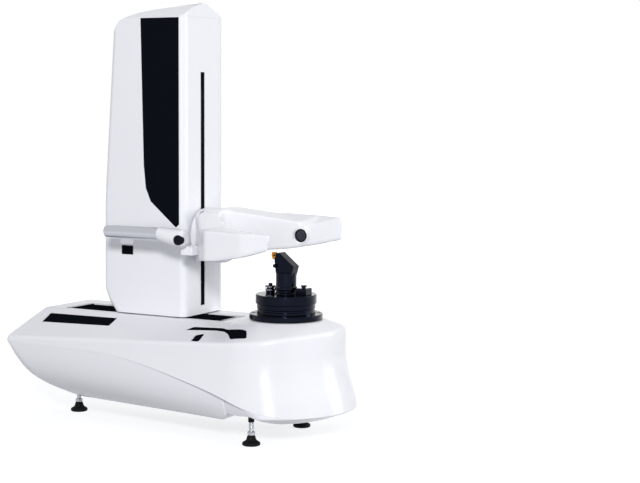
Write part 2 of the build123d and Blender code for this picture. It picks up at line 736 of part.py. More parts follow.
with BuildPart() as column_cap:
    add(tower)
    add(hollow, mode=Mode.SUBTRACT)
    block(ALL_X, ALL_Y, (150, CAP_Z + FINE_SEAM), Mode.SUBTRACT)
write(column_cap, "column_cap")

with BuildPart() as stripe_panel:
    add(stripe_prism(0) & (sunk - floor_of_stripe))
    add(column_cover.part, mode=Mode.SUBTRACT)
write(stripe_panel, "stripe_panel")

with BuildPart() as slot_lips:
    block((9.5, 13.3), (SLOT_Y - 16, SLOT_Y + 16), (SLOT_SPAN_Z[0] - 6, SLOT_SPAN_Z[1] + 6))
    half = SLOT_HALF - 0.2
    block((13.3, 15.5), (SLOT_Y - half, SLOT_Y + half), (SLOT_SPAN_Z[0] + 0.2, SLOT_SPAN_Z[1] - 0.2))
    half = NECK_HALF + 1.2
    block((5, 20), (SLOT_Y - half, SLOT_Y + half), (SLOT_SPAN_Z[0] + 2, SLOT_SPAN_Z[1] - 2), Mode.SUBTRACT)
write(slot_lips, "slot_lips")

ROCKER_PIVOT_X = sum(SWITCH_X) / 2
ROCKER_PIVOT_Y = -49.0
ROCKER_TILT = math.radians(7)
ROCKER_PIN_Z = (361.8, 379.2)
ROCKER_PIN_RADIUS = 1.2

with BuildPart() as switch_bezel:
    block((SWITCH_X[0] + 0.1, SWITCH_X[1] - 0.1), (-54.8, -42), (SWITCH_Z[0] + 0.1, SWITCH_Z[1] - 0.1))
    room_x = (SWITCH_X[0] + 1.6, SWITCH_X[1] - 1.6)
    block(room_x, (-60, -44), (SWITCH_Z[0] + 1.6, SWITCH_Z[1] - 1.6), Mode.SUBTRACT)
    low, high = ROCKER_PIN_Z
    hole = ROCKER_PIN_RADIUS + RUNNING_FIT
    post(ROCKER_PIVOT_X, ROCKER_PIVOT_Y, low - 0.2, high + 0.2, hole, Mode.SUBTRACT)
write(switch_bezel, "switch_bezel")

with BuildPart() as switch_rocker:
    tilted = Plane(
        origin=(ROCKER_PIVOT_X, ROCKER_PIVOT_Y, SWITCH_Z[0] + 1.9),
        x_dir=(math.cos(ROCKER_TILT), -math.sin(ROCKER_TILT), 0), z_dir=(0, 0, 1),
    )
    shape = [(-11.4, -5.2), (0, -5.8), (11.4, -5.2), (12.2, -2), (9, 3), (-9, 3), (-12.2, -2)]
    add(prism(shape, tilted, SWITCH_Z[1] - SWITCH_Z[0] - 3.8))
    post(ROCKER_PIVOT_X, ROCKER_PIVOT_Y, *ROCKER_PIN_Z, ROCKER_PIN_RADIUS)
write(switch_rocker, "switch_rocker")

with BuildPart() as label_plate:
    block(LABEL_X, (COLUMN_FRONT_Y - 0.4, COLUMN_FRONT_Y), LABEL_Z)
write(label_plate, "label_plate")


# Column: carriage on the ways and the frame inside the covers

SADDLE_X = (-152.5, -7.5)
FRAME_TOP_Z = 830.0
FLANGE_Y = ((-38, -24), (56, 70))
WEB_X = (-79.5, -62.5)
PULLEY_X = -71.5
PULLEY_Z = 805.0
PULLEY_RADIUS = 43.0
BELT_THICK = 1.4
BELT_Y = (8.0, 24.0)
BELT_OFFSET = PULLEY_RADIUS + BELT_THICK / 2
RODS_X = -114.5
RODS_Y = (-8.0, 40.0)
WEIGHT_X = (-145.5, -83.5)
WEIGHT_Z = (558.0, 638.0)
CARRIAGE_X = (-34.5, -22.5)
CARRIAGE_Z = (352.0, 460.0)

with BuildPart() as x_runners:
    for left in (-147, -63):
        for rail_y in (-RAIL_Y, RAIL_Y):
            block((left, left + 50), (rail_y - 17, rail_y + 17), (BED_TOP_Z + 5, 212))
            room_z = (180, BED_TOP_Z + RAIL_SIZE + 0.4)
            block((left - 1, left + 51), (rail_y - 7.6, rail_y + 7.6), room_z, Mode.SUBTRACT)
write(x_runners, "x_runners")

with BuildPart() as column_saddle:
    block(SADDLE_X, (-50, 50), (212, 226))
    for side in (-1, 1):
        near, far = sorted((side * 41.5, side * 44.5))
        block((-121.5, -21.5), (near, far), (226, 240))
write(column_saddle, "column_saddle")

with BuildPart() as x_read_head:
    block((-100, -60), (-7, 7), (BED_TOP_Z + 2.2, 212))
write(x_read_head, "x_read_head")

with BuildPart() as column_frame:
    block((-146, -8), (-46, 76), (240, 252))
    for near, far in FLANGE_Y:
        shape = [(-145, 240), (-30, 240), (-62.5, 300), (-62.5, FRAME_TOP_Z), (-145, FRAME_TOP_Z)]
        add(prism(shape, Plane.XZ.offset(-far), far - near))
        for low in (310, 480, 650):
            block((-132, -92), (near, far), (low, low + 80), Mode.SUBTRACT)
    block(WEB_X, (-38, 70), (240, 756))
    block((-126, -103), (-30, 60), (744, 756))
    block((-118, -112), (4, 28), (740, 760), Mode.SUBTRACT)
    for rod_y in RODS_Y:
        post(RODS_X, rod_y, 240, 760, 6.0, Mode.SUBTRACT)
    pin_y(PULLEY_X, PULLEY_Z, -40, 72, 8.0, Mode.SUBTRACT)
write(column_frame, "column_frame")

with BuildPart() as frame_spacers:
    front_span = (COLUMN_FRONT_Y + COLUMN_WALL, FLANGE_Y[0][0])
    rear_span = (FLANGE_Y[1][1], COLUMN_REAR_Y - COLUMN_WALL)
    for near, far in (front_span, rear_span):
        for spacer_z in (320, 560, 780):
            pin_y(-75, spacer_z, near, far, 6)
        for spacer_z in (440, 610):
            pin_y(-112, spacer_z, near, far, 6)
    for near, far in FLANGE_Y:
        for post_x in (-125, -72):
            post(post_x, (near + far) / 2, FRAME_TOP_Z, 900, 5)
    add(hollow, mode=Mode.INTERSECT)
write(frame_spacers, "frame_spacers")

with BuildPart() as column_shafts:
    pin_y(PULLEY_X, PULLEY_Z, -40, 72, 7.95)
    for near, far in ((-43, -40), (72, 75)):
        pin_y(PULLEY_X, PULLEY_Z, near, far, 12)
    for rod_y in RODS_Y:
        post(RODS_X, rod_y, 240, 758, 5.98)
write(column_shafts, "column_shafts")

with BuildPart() as belt_pulley:
    pin_y(PULLEY_X, PULLEY_Z, *BELT_Y, PULLEY_RADIUS)
    for near, far in ((5, 8), (24, 27)):
        pin_y(PULLEY_X, PULLEY_Z, near, far, PULLEY_RADIUS + 4)
    pin_y(PULLEY_X, PULLEY_Z, 0, 32, 14)
    pin_y(PULLEY_X, PULLEY_Z, -5, 40, 8.0, Mode.SUBTRACT)
    with Locations((PULLEY_X, SLOT_Y, PULLEY_Z)):
        with Locations(Rotation(90, 0, 0)):
            with PolarLocations(27, 6):
                Cylinder(8, 40, mode=Mode.SUBTRACT)
write(belt_pulley, "belt_pulley")

with BuildPart() as belt_wrap:
    pin_y(PULLEY_X, PULLEY_Z, *BELT_Y, PULLEY_RADIUS + BELT_THICK)
    pin_y(PULLEY_X, PULLEY_Z, *BELT_Y, PULLEY_RADIUS + 0.05, Mode.SUBTRACT)
    block((-130, -20), (0, 30), (740, PULLEY_Z), Mode.SUBTRACT)
write(belt_wrap, "belt_wrap")

with BuildPart() as belt_carriage_run:
    left = PULLEY_X + PULLEY_RADIUS + 0.05
    block((left, left + BELT_THICK - 0.05), BELT_Y, (CARRIAGE_Z[1], PULLEY_Z))
write(belt_carriage_run, "belt_carriage_run")

with BuildPart() as belt_weight_run:
    right = PULLEY_X - PULLEY_RADIUS - 0.05
    block((right - BELT_THICK + 0.05, right), BELT_Y, (WEIGHT_Z[1], PULLEY_Z))
write(belt_weight_run, "belt_weight_run")

with BuildPart() as counterweight:
    block(WEIGHT_X, (-20, 52), WEIGHT_Z)
    for rod_y in RODS_Y:
        post(RODS_X, rod_y, 540, 660, 6.08, Mode.SUBTRACT)
    chamfer(counterweight.edges().filter_by(Axis.Z).group_by(Axis.X)[0], 4)
write(counterweight, "counterweight")

with BuildPart() as z_rail:
    block((-62.5, -47.5), (8.5, 23.5), (253, 757))
    for groove_y in (8.5, 23.5):
        block((-56, -52.5), (groove_y - 1.6, groove_y + 1.6), (250, 760), Mode.SUBTRACT)
write(z_rail, "z_rail")

with BuildPart() as z_scale:
    block((-62.5, -61), (32, 44), (256, 754))
write(z_scale, "z_scale")


# Optics: carriage and yoke

HUB_LEFT = 20.5
HUB_RADIUS = 57.0
HUB_Z = 405.0
NECK_Z = (368.0, 440.0)
ARM_SPLIT_X = 128.0
WINDOW_Z = 403.5

with BuildPart() as z_runners:
    for low in (356, 409):
        block((-57.5, -34.5), (-1, 33), (low, low + 46))
        block((-70, -47.1), (8.4, 23.6), (low - 1, low + 47), Mode.SUBTRACT)
write(z_runners, "z_runners")

with BuildPart() as carriage_plate:
    block(CARRIAGE_X, (-16, 48), CARRIAGE_Z)
    block((CARRIAGE_X[1], HUB_LEFT), (SLOT_Y - NECK_HALF, SLOT_Y + NECK_HALF), NECK_Z)
write(carriage_plate, "carriage_plate")

with BuildPart() as z_read_head:
    block((-60.2, CARRIAGE_X[0]), (34, 46), (390, 430))
write(z_read_head, "z_read_head")


ARM_PLAN_INNER = [
    (220.5, -165), (278.5, -150), (278.5, -147), (195.5, -115), (162.5, -93), (122.5, -58), (84.5, -25),
    (76.5, 0), (60, 10), (30, 10),
]
FRONT_PLAN = [(42.5, -52), (113, -146), (138, -164), *ARM_PLAN_INNER]
REAR_PLAN = [(42.5, 80), (123.5, 150), (133.5, 163), *[(x, -y) for x, y in ARM_PLAN_INNER]]
REAR_SIDE = [
    (10, 462), (62.5, 460), (123.5, 447), (197.5, 445), (278.5, 443), (278.5, 396), (218.5, 383),
    (172.5, 375), (123.5, 372), (57.5, 352), (10, 348),
]
FRONT_SIDE = [
    (10, 462), (62.5, 455), (123.5, 432), (278.5, 428), (278.5, 415), (267.5, 402), (216.5, 380),
    (162.5, 370), (123.5, 369), (10, 348),
]


def arm(plan, side):
    """One arm of the fork: its plan outline cut to its side outline."""
    with BuildPart() as body:
        with BuildSketch(Plane.XY.offset(300)) as outline:
            with BuildLine():
                Polyline(*plan, close=True)
            make_face()
        extrude(amount=200)
        with BuildSketch(Plane.XZ):
            with BuildLine():
                Polyline(*side, close=True)
            make_face()
        extrude(amount=300, both=True, mode=Mode.INTERSECT)
    return body.part


front_arm = arm(FRONT_PLAN, FRONT_SIDE)
rear_arm = arm(REAR_PLAN, REAR_SIDE)

with BuildPart() as yoke_hub:
    pin_x(SLOT_Y, HUB_Z, HUB_LEFT, 78, HUB_RADIUS)
    block((10, 90), (-60, 100), (300, 348), Mode.SUBTRACT)

with BuildPart() as yoke_casting:
    add(front_arm)
    add(rear_arm)
    add(yoke_hub.part)
    block((ARM_SPLIT_X, 400), (-200, 200), (300, 500), Mode.SUBTRACT)
    pin_x(SLOT_Y, HUB_Z, 10, 30, 44, Mode.SUBTRACT)
write(yoke_casting, "yoke_casting")

LENS_X = OPTIC_AXIS_X
REAR_BAY = [(138, 82), (165, 103), (196, 122), (262, 147), (262, 152), (222, 159), (138, 156)]
FRONT_BAY = [(x, -y) for x, y in REAR_BAY]
REAR_BAY_Z = (388.0, 419.0)
FRONT_BAY_Z = (389.0, 419.0)


def facet_cut(a, b, c):
    """The space over a sloping triangle, which is cut away from the top of an arm."""
    slope = (Vector(*b) - Vector(*a)).cross(Vector(*c) - Vector(*a))
    if slope.Z < 0:
        slope = slope * -1
    with BuildPart() as body:
        with BuildSketch(Plane.XY.offset(400)):
            with BuildLine():
                Polyline(a[:2], b[:2], c[:2], close=True)
            make_face()
        extrude(amount=90)
        with BuildSketch(Plane(origin=a, z_dir=slope)):
            Rectangle(900, 900)
        extrude(amount=120, mode=Mode.INTERSECT)
    return body.part


REAR_FACETS = [
    ((121.5, 53, 446.5), (125, 152, 447.5), (194.5, 112.5, 432)),
    ((125, 152, 447.5), (222, 157, 446), (194.5, 112.5, 432)),
    ((194.5, 112.5, 432), (222, 157, 446), (223.5, 123.5, 425)),
    ((223.5, 123.5, 425), (222, 157, 446), (280, 146, 443)),
]

with BuildPart() as camera_housing:
    add(rear_arm)
    for a, b, c in REAR_FACETS:
        add(facet_cut(a, b, c), mode=Mode.SUBTRACT)
    block((0, ARM_SPLIT_X + FINE_SEAM), (-200, 200), (300, 500), Mode.SUBTRACT)
    bay = prism(REAR_BAY, Plane.XY.offset(REAR_BAY_Z[0]), REAR_BAY_Z[1] - REAR_BAY_Z[0])
    add(bay, mode=Mode.SUBTRACT)
    pin_y(LENS_X, WINDOW_Z, 100, 140, 14.0, Mode.SUBTRACT)
write(camera_housing, "camera_housing")

with BuildPart() as light_housing:
    add(front_arm)
    block((0, ARM_SPLIT_X + FINE_SEAM), (-200, 200), (300, 500), Mode.SUBTRACT)
    bay = prism(FRONT_BAY, Plane.XY.offset(FRONT_BAY_Z[0]), FRONT_BAY_Z[1] - FRONT_BAY_Z[0])
    add(bay, mode=Mode.SUBTRACT)
    pin_y(LENS_X, WINDOW_Z, -140, -100, 14.0, Mode.SUBTRACT)
write(light_housing, "light_housing")

with BuildPart() as optic_windows:
    for side in (-1, 1):
        near, far = sorted((side * 115.6, side * 117.6))
        pin_y(LENS_X, WINDOW_Z, near, far, 11.4)
write(optic_windows, "optic_windows")

with BuildPart() as camera_module:
    pin_y(LENS_X, WINDOW_Z, 114.4, 142, 13.95)
    pin_y(LENS_X, WINDOW_Z, 110, 118, 11.5, Mode.SUBTRACT)
    block((LENS_X - 14, LENS_X + 13), (128, 156), (389.5, 417.5))
    pin_x(142, WINDOW_Z, 165, LENS_X - 10, 11.5)
    block((140, 168), (128, 154), (390, 417))
write(camera_module, "camera_module")

with BuildPart() as light_module:
    pin_y(LENS_X, WINDOW_Z, -142, -114.4, 13.95)
    pin_y(LENS_X, WINDOW_Z, -118, -110, 11.5, Mode.SUBTRACT)
    block((LENS_X - 14, LENS_X + 13), (-156, -128), (390, 417))
    pin_x(-142, WINDOW_Z, 160, LENS_X - 10, 9.5)
    block((142, 163), (-153, -131), (391, 416))
write(light_module, "light_module")


# Optics: grip

GRIP_Y = -130.0
GRIP_Z = 416.0
HEAD_Z = 409.5
BUTTON_X = 63.5
BUTTON_Z = 407.0

with BuildPart() as grip_bar:
    pin_x(GRIP_Y, GRIP_Z, -125.5, 8.3, 12.5)
    fillet(grip_bar.edges().group_by(Axis.X)[0], 3)
    pin_x(GRIP_Y, GRIP_Z, 8, 20, 6.0)
write(grip_bar, "grip_bar")

with BuildPart() as grip_head:
    with BuildSketch(Plane.YZ.offset(8.5)):
        with Locations((GRIP_Y, GRIP_Z)):
            Circle(14)
    with BuildSketch(Plane.YZ.offset(36)):
        with Locations((GRIP_Y, HEAD_Z + 2)):
            Circle(17)
    with BuildSketch(Plane.YZ.offset(72)):
        with Locations((GRIP_Y, HEAD_Z)):
            Circle(18.5)
    loft()
    fillet(grip_head.edges().group_by(Axis.X)[-1], 10)
    pin_x(GRIP_Y, GRIP_Z, 0, 20.5, 6.02, Mode.SUBTRACT)
    pin_y(BUTTON_X, BUTTON_Z, -160, -138, 10.0, Mode.SUBTRACT)
write(grip_head, "grip_head")

with BuildPart() as button_ring:
    pin_y(BUTTON_X, BUTTON_Z, -148.4, -138, 9.95)
    pin_y(BUTTON_X, BUTTON_Z, -160, -140, 6.6, Mode.SUBTRACT)
write(button_ring, "button_ring")

with BuildPart() as thumb_button:
    pin_y(BUTTON_X, BUTTON_Z, -149.6, -142, 6.5)
    fillet(thumb_button.edges().group_by(Axis.Y)[0], 1)
write(thumb_button, "thumb_button")

with BuildPart() as grip_bracket:
    shape = [(50.5, -118), (78.5, -118), (78.5, -88), (57, -62), (50.5, -62)]
    add(prism(shape, Plane.XY.offset(374), 18))
    add(grip_head.part, mode=Mode.SUBTRACT)
    add(yoke_casting.part, mode=Mode.SUBTRACT)
write(grip_bracket, "grip_bracket")
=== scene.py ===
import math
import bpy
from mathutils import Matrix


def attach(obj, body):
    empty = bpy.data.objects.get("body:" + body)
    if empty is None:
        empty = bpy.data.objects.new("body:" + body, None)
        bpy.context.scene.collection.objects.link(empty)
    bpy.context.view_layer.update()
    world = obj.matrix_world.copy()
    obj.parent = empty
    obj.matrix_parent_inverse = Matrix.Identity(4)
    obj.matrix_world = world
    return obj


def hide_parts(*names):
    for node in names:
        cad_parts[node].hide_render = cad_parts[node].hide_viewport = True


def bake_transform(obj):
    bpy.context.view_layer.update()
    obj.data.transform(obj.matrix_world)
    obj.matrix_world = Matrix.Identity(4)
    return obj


bl_info = {
    "name": "Tool presetter looks",
    "version": (1, 0, 0),
    "blender": (4, 5, 0),
    "location": "3D View > Sidebar > Presetter",
    "description": "Dresses the packed frame of a bench tool presetter: shells, finishes and stage",
    "category": "Object",
}

from functools import partial

import bmesh
import bpy
from bpy.props import (
    FloatProperty, FloatVectorProperty, IntProperty, PointerProperty, StringProperty,
)
from mathutils import Matrix, Vector

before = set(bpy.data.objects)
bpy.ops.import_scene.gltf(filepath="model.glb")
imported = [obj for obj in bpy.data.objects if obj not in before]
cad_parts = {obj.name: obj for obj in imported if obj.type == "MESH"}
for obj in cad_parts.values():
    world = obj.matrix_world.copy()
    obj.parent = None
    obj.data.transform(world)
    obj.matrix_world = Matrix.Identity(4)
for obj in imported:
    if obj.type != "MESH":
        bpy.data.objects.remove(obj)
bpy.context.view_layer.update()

MM = 0.001

# Deck of the base, in millimetres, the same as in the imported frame
SPINDLE_X = 228.5
BASE_LEFT = -373.0
BASE_HALF_DEPTH = 158.0
NOSE_CENTRE_X = 189.0
DECK_Z = 235.0
DECK_FRONT_Y = -60.0
DECK_REAR_Y = 95.0
DECK_LEFT = -341.5
CREASE_Z_LEFT = 181.0
CREASE_Z_RIGHT = 212.0
END_CREASE_Z = 174.0
BOSS_Z = 244.0
BOSS_RADIUS = 79.0
BOSS_SLOPE = 0.40
BOSS_FADE = 30.0
BOSS_BLEND_SHARE = 0.6
END_BLEND_SHARE = 1.5

# Walls of the base: pairs of a height and how far the wall stands out there
FLARE_BY_HEIGHT = ((66.0, 26.0), (100.0, 18.0), (130.0, 8.0), (165.0, 1.0), (260.0, 0.0))
TRAY_FLARE_BY_HEIGHT = ((46.0, 27.0), (66.0, 26.0), (100.0, 18.0), (130.0, 8.0))
UNDERCUT = ((52.0, -11.0), (66.0, 26.0))
FLANK_FLARE_SHARE = 0.45
# the waist line's x and height
WAIST = (
    (-417.5, 171.5), (-237.5, 169), (-84.5, 163), (71.5, 131), (193.5, 97), (237.7, 81.3),
    (285, 70.6), (316, 66.8), (349, 67), (432.5, 67),
)
SEAM = 0.15
# points on the round end, a flank, a corner and the left end of the plan
PLAN_STEPS = (150, 84, 8, 36)
PLAN_CORNER = 10.0
# left end of the cover's middle line, and its rows on the deck and down the wall
RIDGE_LEFT = -215.0
COVER_ROWS = (56, 24)
LINING_ROWS = (14, 8)
CREASE_ROWS = 6
# shares of the way out where finer rows lie round the recesses
FINE_SHARES = (0.38, 0.60)
FINE_STEP = 0.006
CREASE_SHARE = 0.55
RIM_GUESS = 200.0
# first guess at the waist's height, and the rounds of the search for it
COVER_WAIST_SEARCH = (120.0, 5)
PAN_WAIST_SEARCH = (172.0, 6)
TRAY_WAIST_SEARCH = (90.0, 8)
SKIN_STEP = 2.0
SKIN_MARGIN = 3
SKIN_LEVELS = (140, 275)
CLEAR_Z = 262.0

# Lower pan: its left end, half depths and corner radius at four heights
HULL_HEIGHTS = (50.0, 78.0, 125.0, 172.0)
HULL_SIZES = (
    (-261.5, -321.5, -361.5, -373.0),
    (72.0, 112.0, 148.0, 158.0),
    (132.0, 147.0, 155.0, 158.0),
    (46.0, 50.0, 40.0, 10.0),
)
HULL_LEVELS = 135
PAN_CORNER = 4.0
PAN_STEPS = (30, 90, 30, 90)
KEEL = (-190.0, 60.0)
BILGE_REACH = 9.0
HEEL_REACH = 2.5
FLOOR_BLEND = 2.0
# points along the floor and round its edge, and up the wall
PAN_FLOOR_STEPS = (30, 6)
TRAY_FLOOR_STEPS = (24, 4)
BOWL_WALL_STEPS = 40
PAN_RIGHT = 175.0
# where the pan's floor starts to rise, and its slope
HEEL = (156.0, 13.0 / 19.0)
PAN_OPENING = ((120, -114, 65), (190, 114, 200))

# Tray under the round end
FLANK_SPREAD = 0.207
TRAY_CORNER_Y = 150.0
TRAY_BLENDS = (3.0, 8.0)
TRAY_FARTHEST = 400.0
# directions in each half of its round side and along its left side
TRAY_STEPS = (110, 40)
# rounds of the search for its edge, and the share of the way in each
TRAY_EDGE_SEARCH = (40, 0.25)
TRAY_ROUNDING = (2.0, 1.2)
# where the floor starts to rise towards the left, its lowest height and its slope
TRAY_FALL = (285.0, 52.0, 0.0864)
# lift of its outer edge: at the left, more at the right, where that grows, fades and starts
TRAY_EDGE_LIFT = (6.0, 6.0, (190.0, 240.0), (236.0, 290.0), (60.0, 140.0))
TRAY_OPENING = ((170, -114, 65), (185, 114, 200))

# Openings and recesses of the cover
BAND = (-299.5, 107.5, 46.0)
BAND_FLOOR_Z = 214
HOUSING_HOLE = 70.6
HOUSING_FLOOR_Z = 200
SOCKET_OPENING = ((96, 130, 140), (176, 190, 184))
INLAY_TOP = 1.2
INLAY_FLOOR = 2.7
INLAY_PLAY = 0.2
NAME_PLATE = ((-314.5, -107.0), (-137.5, -107.0), (-137.5, -76.0), (-314.5, -76.0))
PANEL_ARCH = (
    (50.5, -105), (62.5, -87), (127, -83), (188, -101), (201, -108.5), (219, -137.5),
    (183, -140.5), (163, -117), (145, -102), (121.5, -98.5),
)
PANEL_TAB = ((90.5, -122), (96.5, -150), (115.5, -152), (109, -124), (103.5, -113))
INLAY_PLANS = ((NAME_PLATE, 2.0), (PANEL_ARCH, 3.0), (PANEL_TAB, 3.0))

# Feet: their places in plan, the hole round each stud, and the pad's radii and heights
FOOT_PLACES = ((-299.5, 0.0), (208.5, -102.0), (208.5, 102.0))
FOOT_HOLE = 8
FOOT_HOLE_LEVELS = (30, 110)
PAD_PROFILE = (
    (0, 0), (16.6, 0), (18.2, 1.4), (18.4, 4.2), (17.2, 6.4), (14, 8.2), (11, 10.4), (9.6, 13),
    (9, 16), (8, 18.8), (6.4, 20), (4.9, 20), (4.9, 14.2), (0, 14.2),
)

# Fork: its windows with their rims, and the fills of its two arms
WINDOW_AXIS = (196.5, 403.5)
WINDOW_RADIUS = 14.0
WINDOW_DEPTHS = (90, 141)
RIM_WIDTH = 2.5
RIM_DEPTHS = (114.6, 142)
MODULE_BAY = ((138, 82), (165, 103), (196, 122), (262, 147), (262, 152), (222, 159), (138, 156))
MODULE_SIDES = (
    (-1, ((130, 372), (162.5, 372), (216.5, 381.5), (268, 395), (268, 420), (130, 420))),
    (1, ((130, 376), (172.5, 377), (218.5, 384.5), (268, 395), (268, 420), (130, 420))),
)
BAY_GROWTH = 0.7
LAMP_ARM_TIP = ((205, 386), (216.5, 380), (272, 395.5), (272, 424), (205, 424))
LAMP_ARM_PLAN = ((205, -118.8), (272, -144.6), (272, -151.5), (220.5, -165), (205, -165))
FILL_LEVELS = (365, 430)
FILL_HALF_DEPTH = 170
ARM_PUSH = 0.3
ARM_SPLIT_X = 128.0
ARM_LEFT = ARM_SPLIT_X + 0.1
FORK_PARTS = (
    ("yoke_casting", "fork_root", (0, -220, 300), (ARM_SPLIT_X, 220, 520)),
    ("camera_housing", "camera_arm", (ARM_LEFT, 0, 300), (320, 220, 520)),
    ("light_housing", "lamp_arm", (ARM_LEFT, -220, 300), (320, 0, 520)),
)

# Small parts
# dark sheet behind the tower's vent slots: painted shade for the tower's inside seen through the
# slot
VENT_SHEET = ((-124.0, 100.1, 295.0), (-36.0, 100.8, 395.0))
BELT_RUNS = (
    ("belt_carriage_run", "carriage_belt", "optics"),
    ("belt_weight_run", "weight_belt", "weight"),
)
# the clamp screw's x, the radius and heights of its discs, and a ridge's width and height
CLAMP_SCREW = (191.5, 11.0, (301.5, 307.5))
KNURL_RIDGE = (0.8, 2.6)
KNURL_WEAR = ((0.9, 0.8, 0.85), (1, 1, 1))

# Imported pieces: what counts as doubled in metres, and as an edge, flat and sharp in degrees
DOUBLED = 2e-6
EDGE_ANGLE = 25.0
FLAT_ANGLE = 0.5
SHARP_ANGLE = 38.0
# the same for the pieces made here
COVER_SHARP = 32
PAN_SHARP = 35
TRAY_SHARP = 30
INLAY_SHARP = 30
SOFT_SHARP = 50

# Lamps: name, place, what it looks at and size, in metres
LAMPS = (
    ("Key", (2.85, -4.85, 2.5), (0, 0, 0.35), (0.8, 0.7)),
    ("Strip", (2.6, -5.5, 0.7), (0.2, 0, 0.2), (1.3, 1.25)),
    ("Side", (3.1, 2.1, 1.4), (0, 0, 0.4), (1.3, 2.4)),
    ("Top", (0.0, 0.3, 3.4), (0, 0, 0.4), (2.4, 2.4)),
)
SENSOR_WIDTH = 36.0
VIEW_DEPTHS = (0.05, 60.0)
FLOOR_HALF = 7000
# what lifts the floor to white for the eye, from near the machine outwards, in metres
FLOOR_LIFT = {"From Min": 0.7, "From Max": 2.2, "To Min": 0.75, "To Max": 1.0}


# Settings that a user would change


class StageSettings(bpy.types.PropertyGroup):
    """Camera, lamps and floor."""

    camera_place: FloatVectorProperty(
        name="Camera place", description="Where the camera stands",
        default=(1.7945, -2.696, 0.684), subtype="TRANSLATION", unit="LENGTH")
    camera_turn: FloatProperty(
        name="Camera turn",
        description="Angle from straight ahead towards the round end",
        default=math.radians(28.9), subtype="ANGLE")
    camera_pitch: FloatProperty(
        name="Camera pitch", description="Angle by which the camera looks down",
        default=math.radians(5.173), subtype="ANGLE")
    camera_roll: FloatProperty(
        name="Camera roll", description="Tilt of the camera about its line of sight",
        default=math.radians(0.349), subtype="ANGLE")
    lens: FloatProperty(
        name="Lens", description="Focal length on a 36 mm wide sensor, in millimetres",
        default=86.96, min=10)
    world_level: FloatProperty(
        name="World level", description="Strength of the plain light from all round",
        default=0.355, min=0)
    key_power: FloatProperty(
        name="Key lamp",
        description="Power of the lamp above the front, which casts the soft shadows",
        default=204.0, unit="POWER")
    strip_power: FloatProperty(
        name="Strip lamp",
        description="Power of the low lamp that draws the gleam on the round end",
        default=40.0, unit="POWER")
    side_power: FloatProperty(
        name="Side lamp", description="Power of the broad lamp beyond the round end",
        default=60.0, unit="POWER")
    top_power: FloatProperty(
        name="Top lamp", description="Power of the broad lamp overhead",
        default=6.0, unit="POWER")


class FinishSettings(bpy.types.PropertyGroup):
    """Colours of the visible finishes, as sRGB hex."""

    lacquer: StringProperty(
        name="Lacquer", description="White lacquer of the covers", default="ECEDF1")
    film: StringProperty(
        name="Film", description="Black film of the stripe and inlays", default="0E1218")
    oxide: StringProperty(
        name="Black oxide", description="Blackened steel of the spindle", default="151821")
    anodised: StringProperty(
        name="Anodised", description="Silver anodised aluminium of the grip", default="B9BBC2")
    carbide: StringProperty(
        name="Coated carbide", description="Gold coating of the insert", default="B87A22")


class ShellSettings(bpy.types.PropertyGroup):
    """Edges and walls of the lacquered shells, in millimetres."""

    crease: FloatProperty(
        name="Crease", description="Reach of the rounding where the deck turns into the wall",
        default=7.0)
    facet_blend: FloatProperty(
        name="Facet blend", description="Height over which two facets of the deck run together",
        default=1.6)
    wall: FloatProperty(name="Wall", description="Thickness of the base cover", default=4.0)
    pan_wall: FloatProperty(
        name="Pan wall", description="Thickness of the lower pans", default=3.0)
    tower_edge: FloatProperty(
        name="Tower edge", description="Rounding of the tower's edges", default=1.2)
    fork_grain: FloatProperty(
        name="Fork grain", description="Size of the fork's mesh faces", default=1.6)
    fork_softness: IntProperty(
        name="Fork softness", description="Rounds of smoothing that soften the fork's edges",
        default=50)
    fine_edge: FloatProperty(
        name="Fine edge", description="Broken edge of machined pieces", default=0.35)


class DetailSettings(bpy.types.PropertyGroup):
    """Repeated fine parts."""

    knurl_count: IntProperty(
        name="Knurl ridges", description="Ridges round the head of the clamp screw",
        default=26, min=6)
    knurl_seed: IntProperty(
        name="Knurl seed", description="Seed of the slight wear of the ridges", default=4)


# Small tools


def linear(hex_colour):
    """An sRGB hex colour as the linear numbers that the shader wants."""
    values = [int(hex_colour[i:i + 2], 16) / 255 for i in (0, 2, 4)]
    turned = [v / 12.92 if v <= 0.04045 else ((v + 0.055) / 1.055) ** 2.4 for v in values]
    return (*turned, 1.0)


def add_node(tree, kind, inputs=None, **settings):
    """Adds a node with its settings and its inputs: values, other nodes or their outputs."""
    made = tree.nodes.new(kind)
    for key, value in settings.items():
        setattr(made, key, value)
    for socket, value in (inputs or {}).items():
        if isinstance(value, bpy.types.Node):
            value = value.outputs[0]
        if isinstance(value, bpy.types.NodeSocket):
            tree.links.new(value, made.inputs[socket])
        else:
            made.inputs[socket].default_value = value
    return made


def spline_through(knots):
    """A natural cubic spline through (place, value) pairs, as a function of the place."""
    xs, ys = zip(*knots)
    n = len(xs)
    gaps = [xs[i + 1] - xs[i] for i in range(n - 1)]
    right = [0.0] * n
    upper = [0.0] * n
    for i in range(1, n - 1):
        bend = 6 * ((ys[i + 1] - ys[i]) / gaps[i] - (ys[i] - ys[i - 1]) / gaps[i - 1])
        diagonal = 2 * (gaps[i - 1] + gaps[i]) - gaps[i - 1] * upper[i - 1]
        upper[i] = gaps[i] / diagonal
        right[i] = (bend - gaps[i - 1] * right[i - 1]) / diagonal
    second = [0.0] * n
    for i in range(n - 2, 0, -1):
        second[i] = right[i] - upper[i] * second[i + 1]

    def at(x):
        i = 0
        while i < n - 2 and x > xs[i + 1]:
            i += 1
        gap = gaps[i]
        a = (xs[i + 1] - x) / gap
        b = (x - xs[i]) / gap
        bent = ((a ** 3 - a) * second[i] + (b ** 3 - b) * second[i + 1]) * gap * gap / 6
        return a * ys[i] + b * ys[i + 1] + bent

    return at


def soft_min(a, b, reach):
    """The lower of two heights, with the corner between them rounded over the given reach."""
    share = max(reach - abs(a - b), 0.0) / reach
    return min(a, b) - share * share * reach / 4


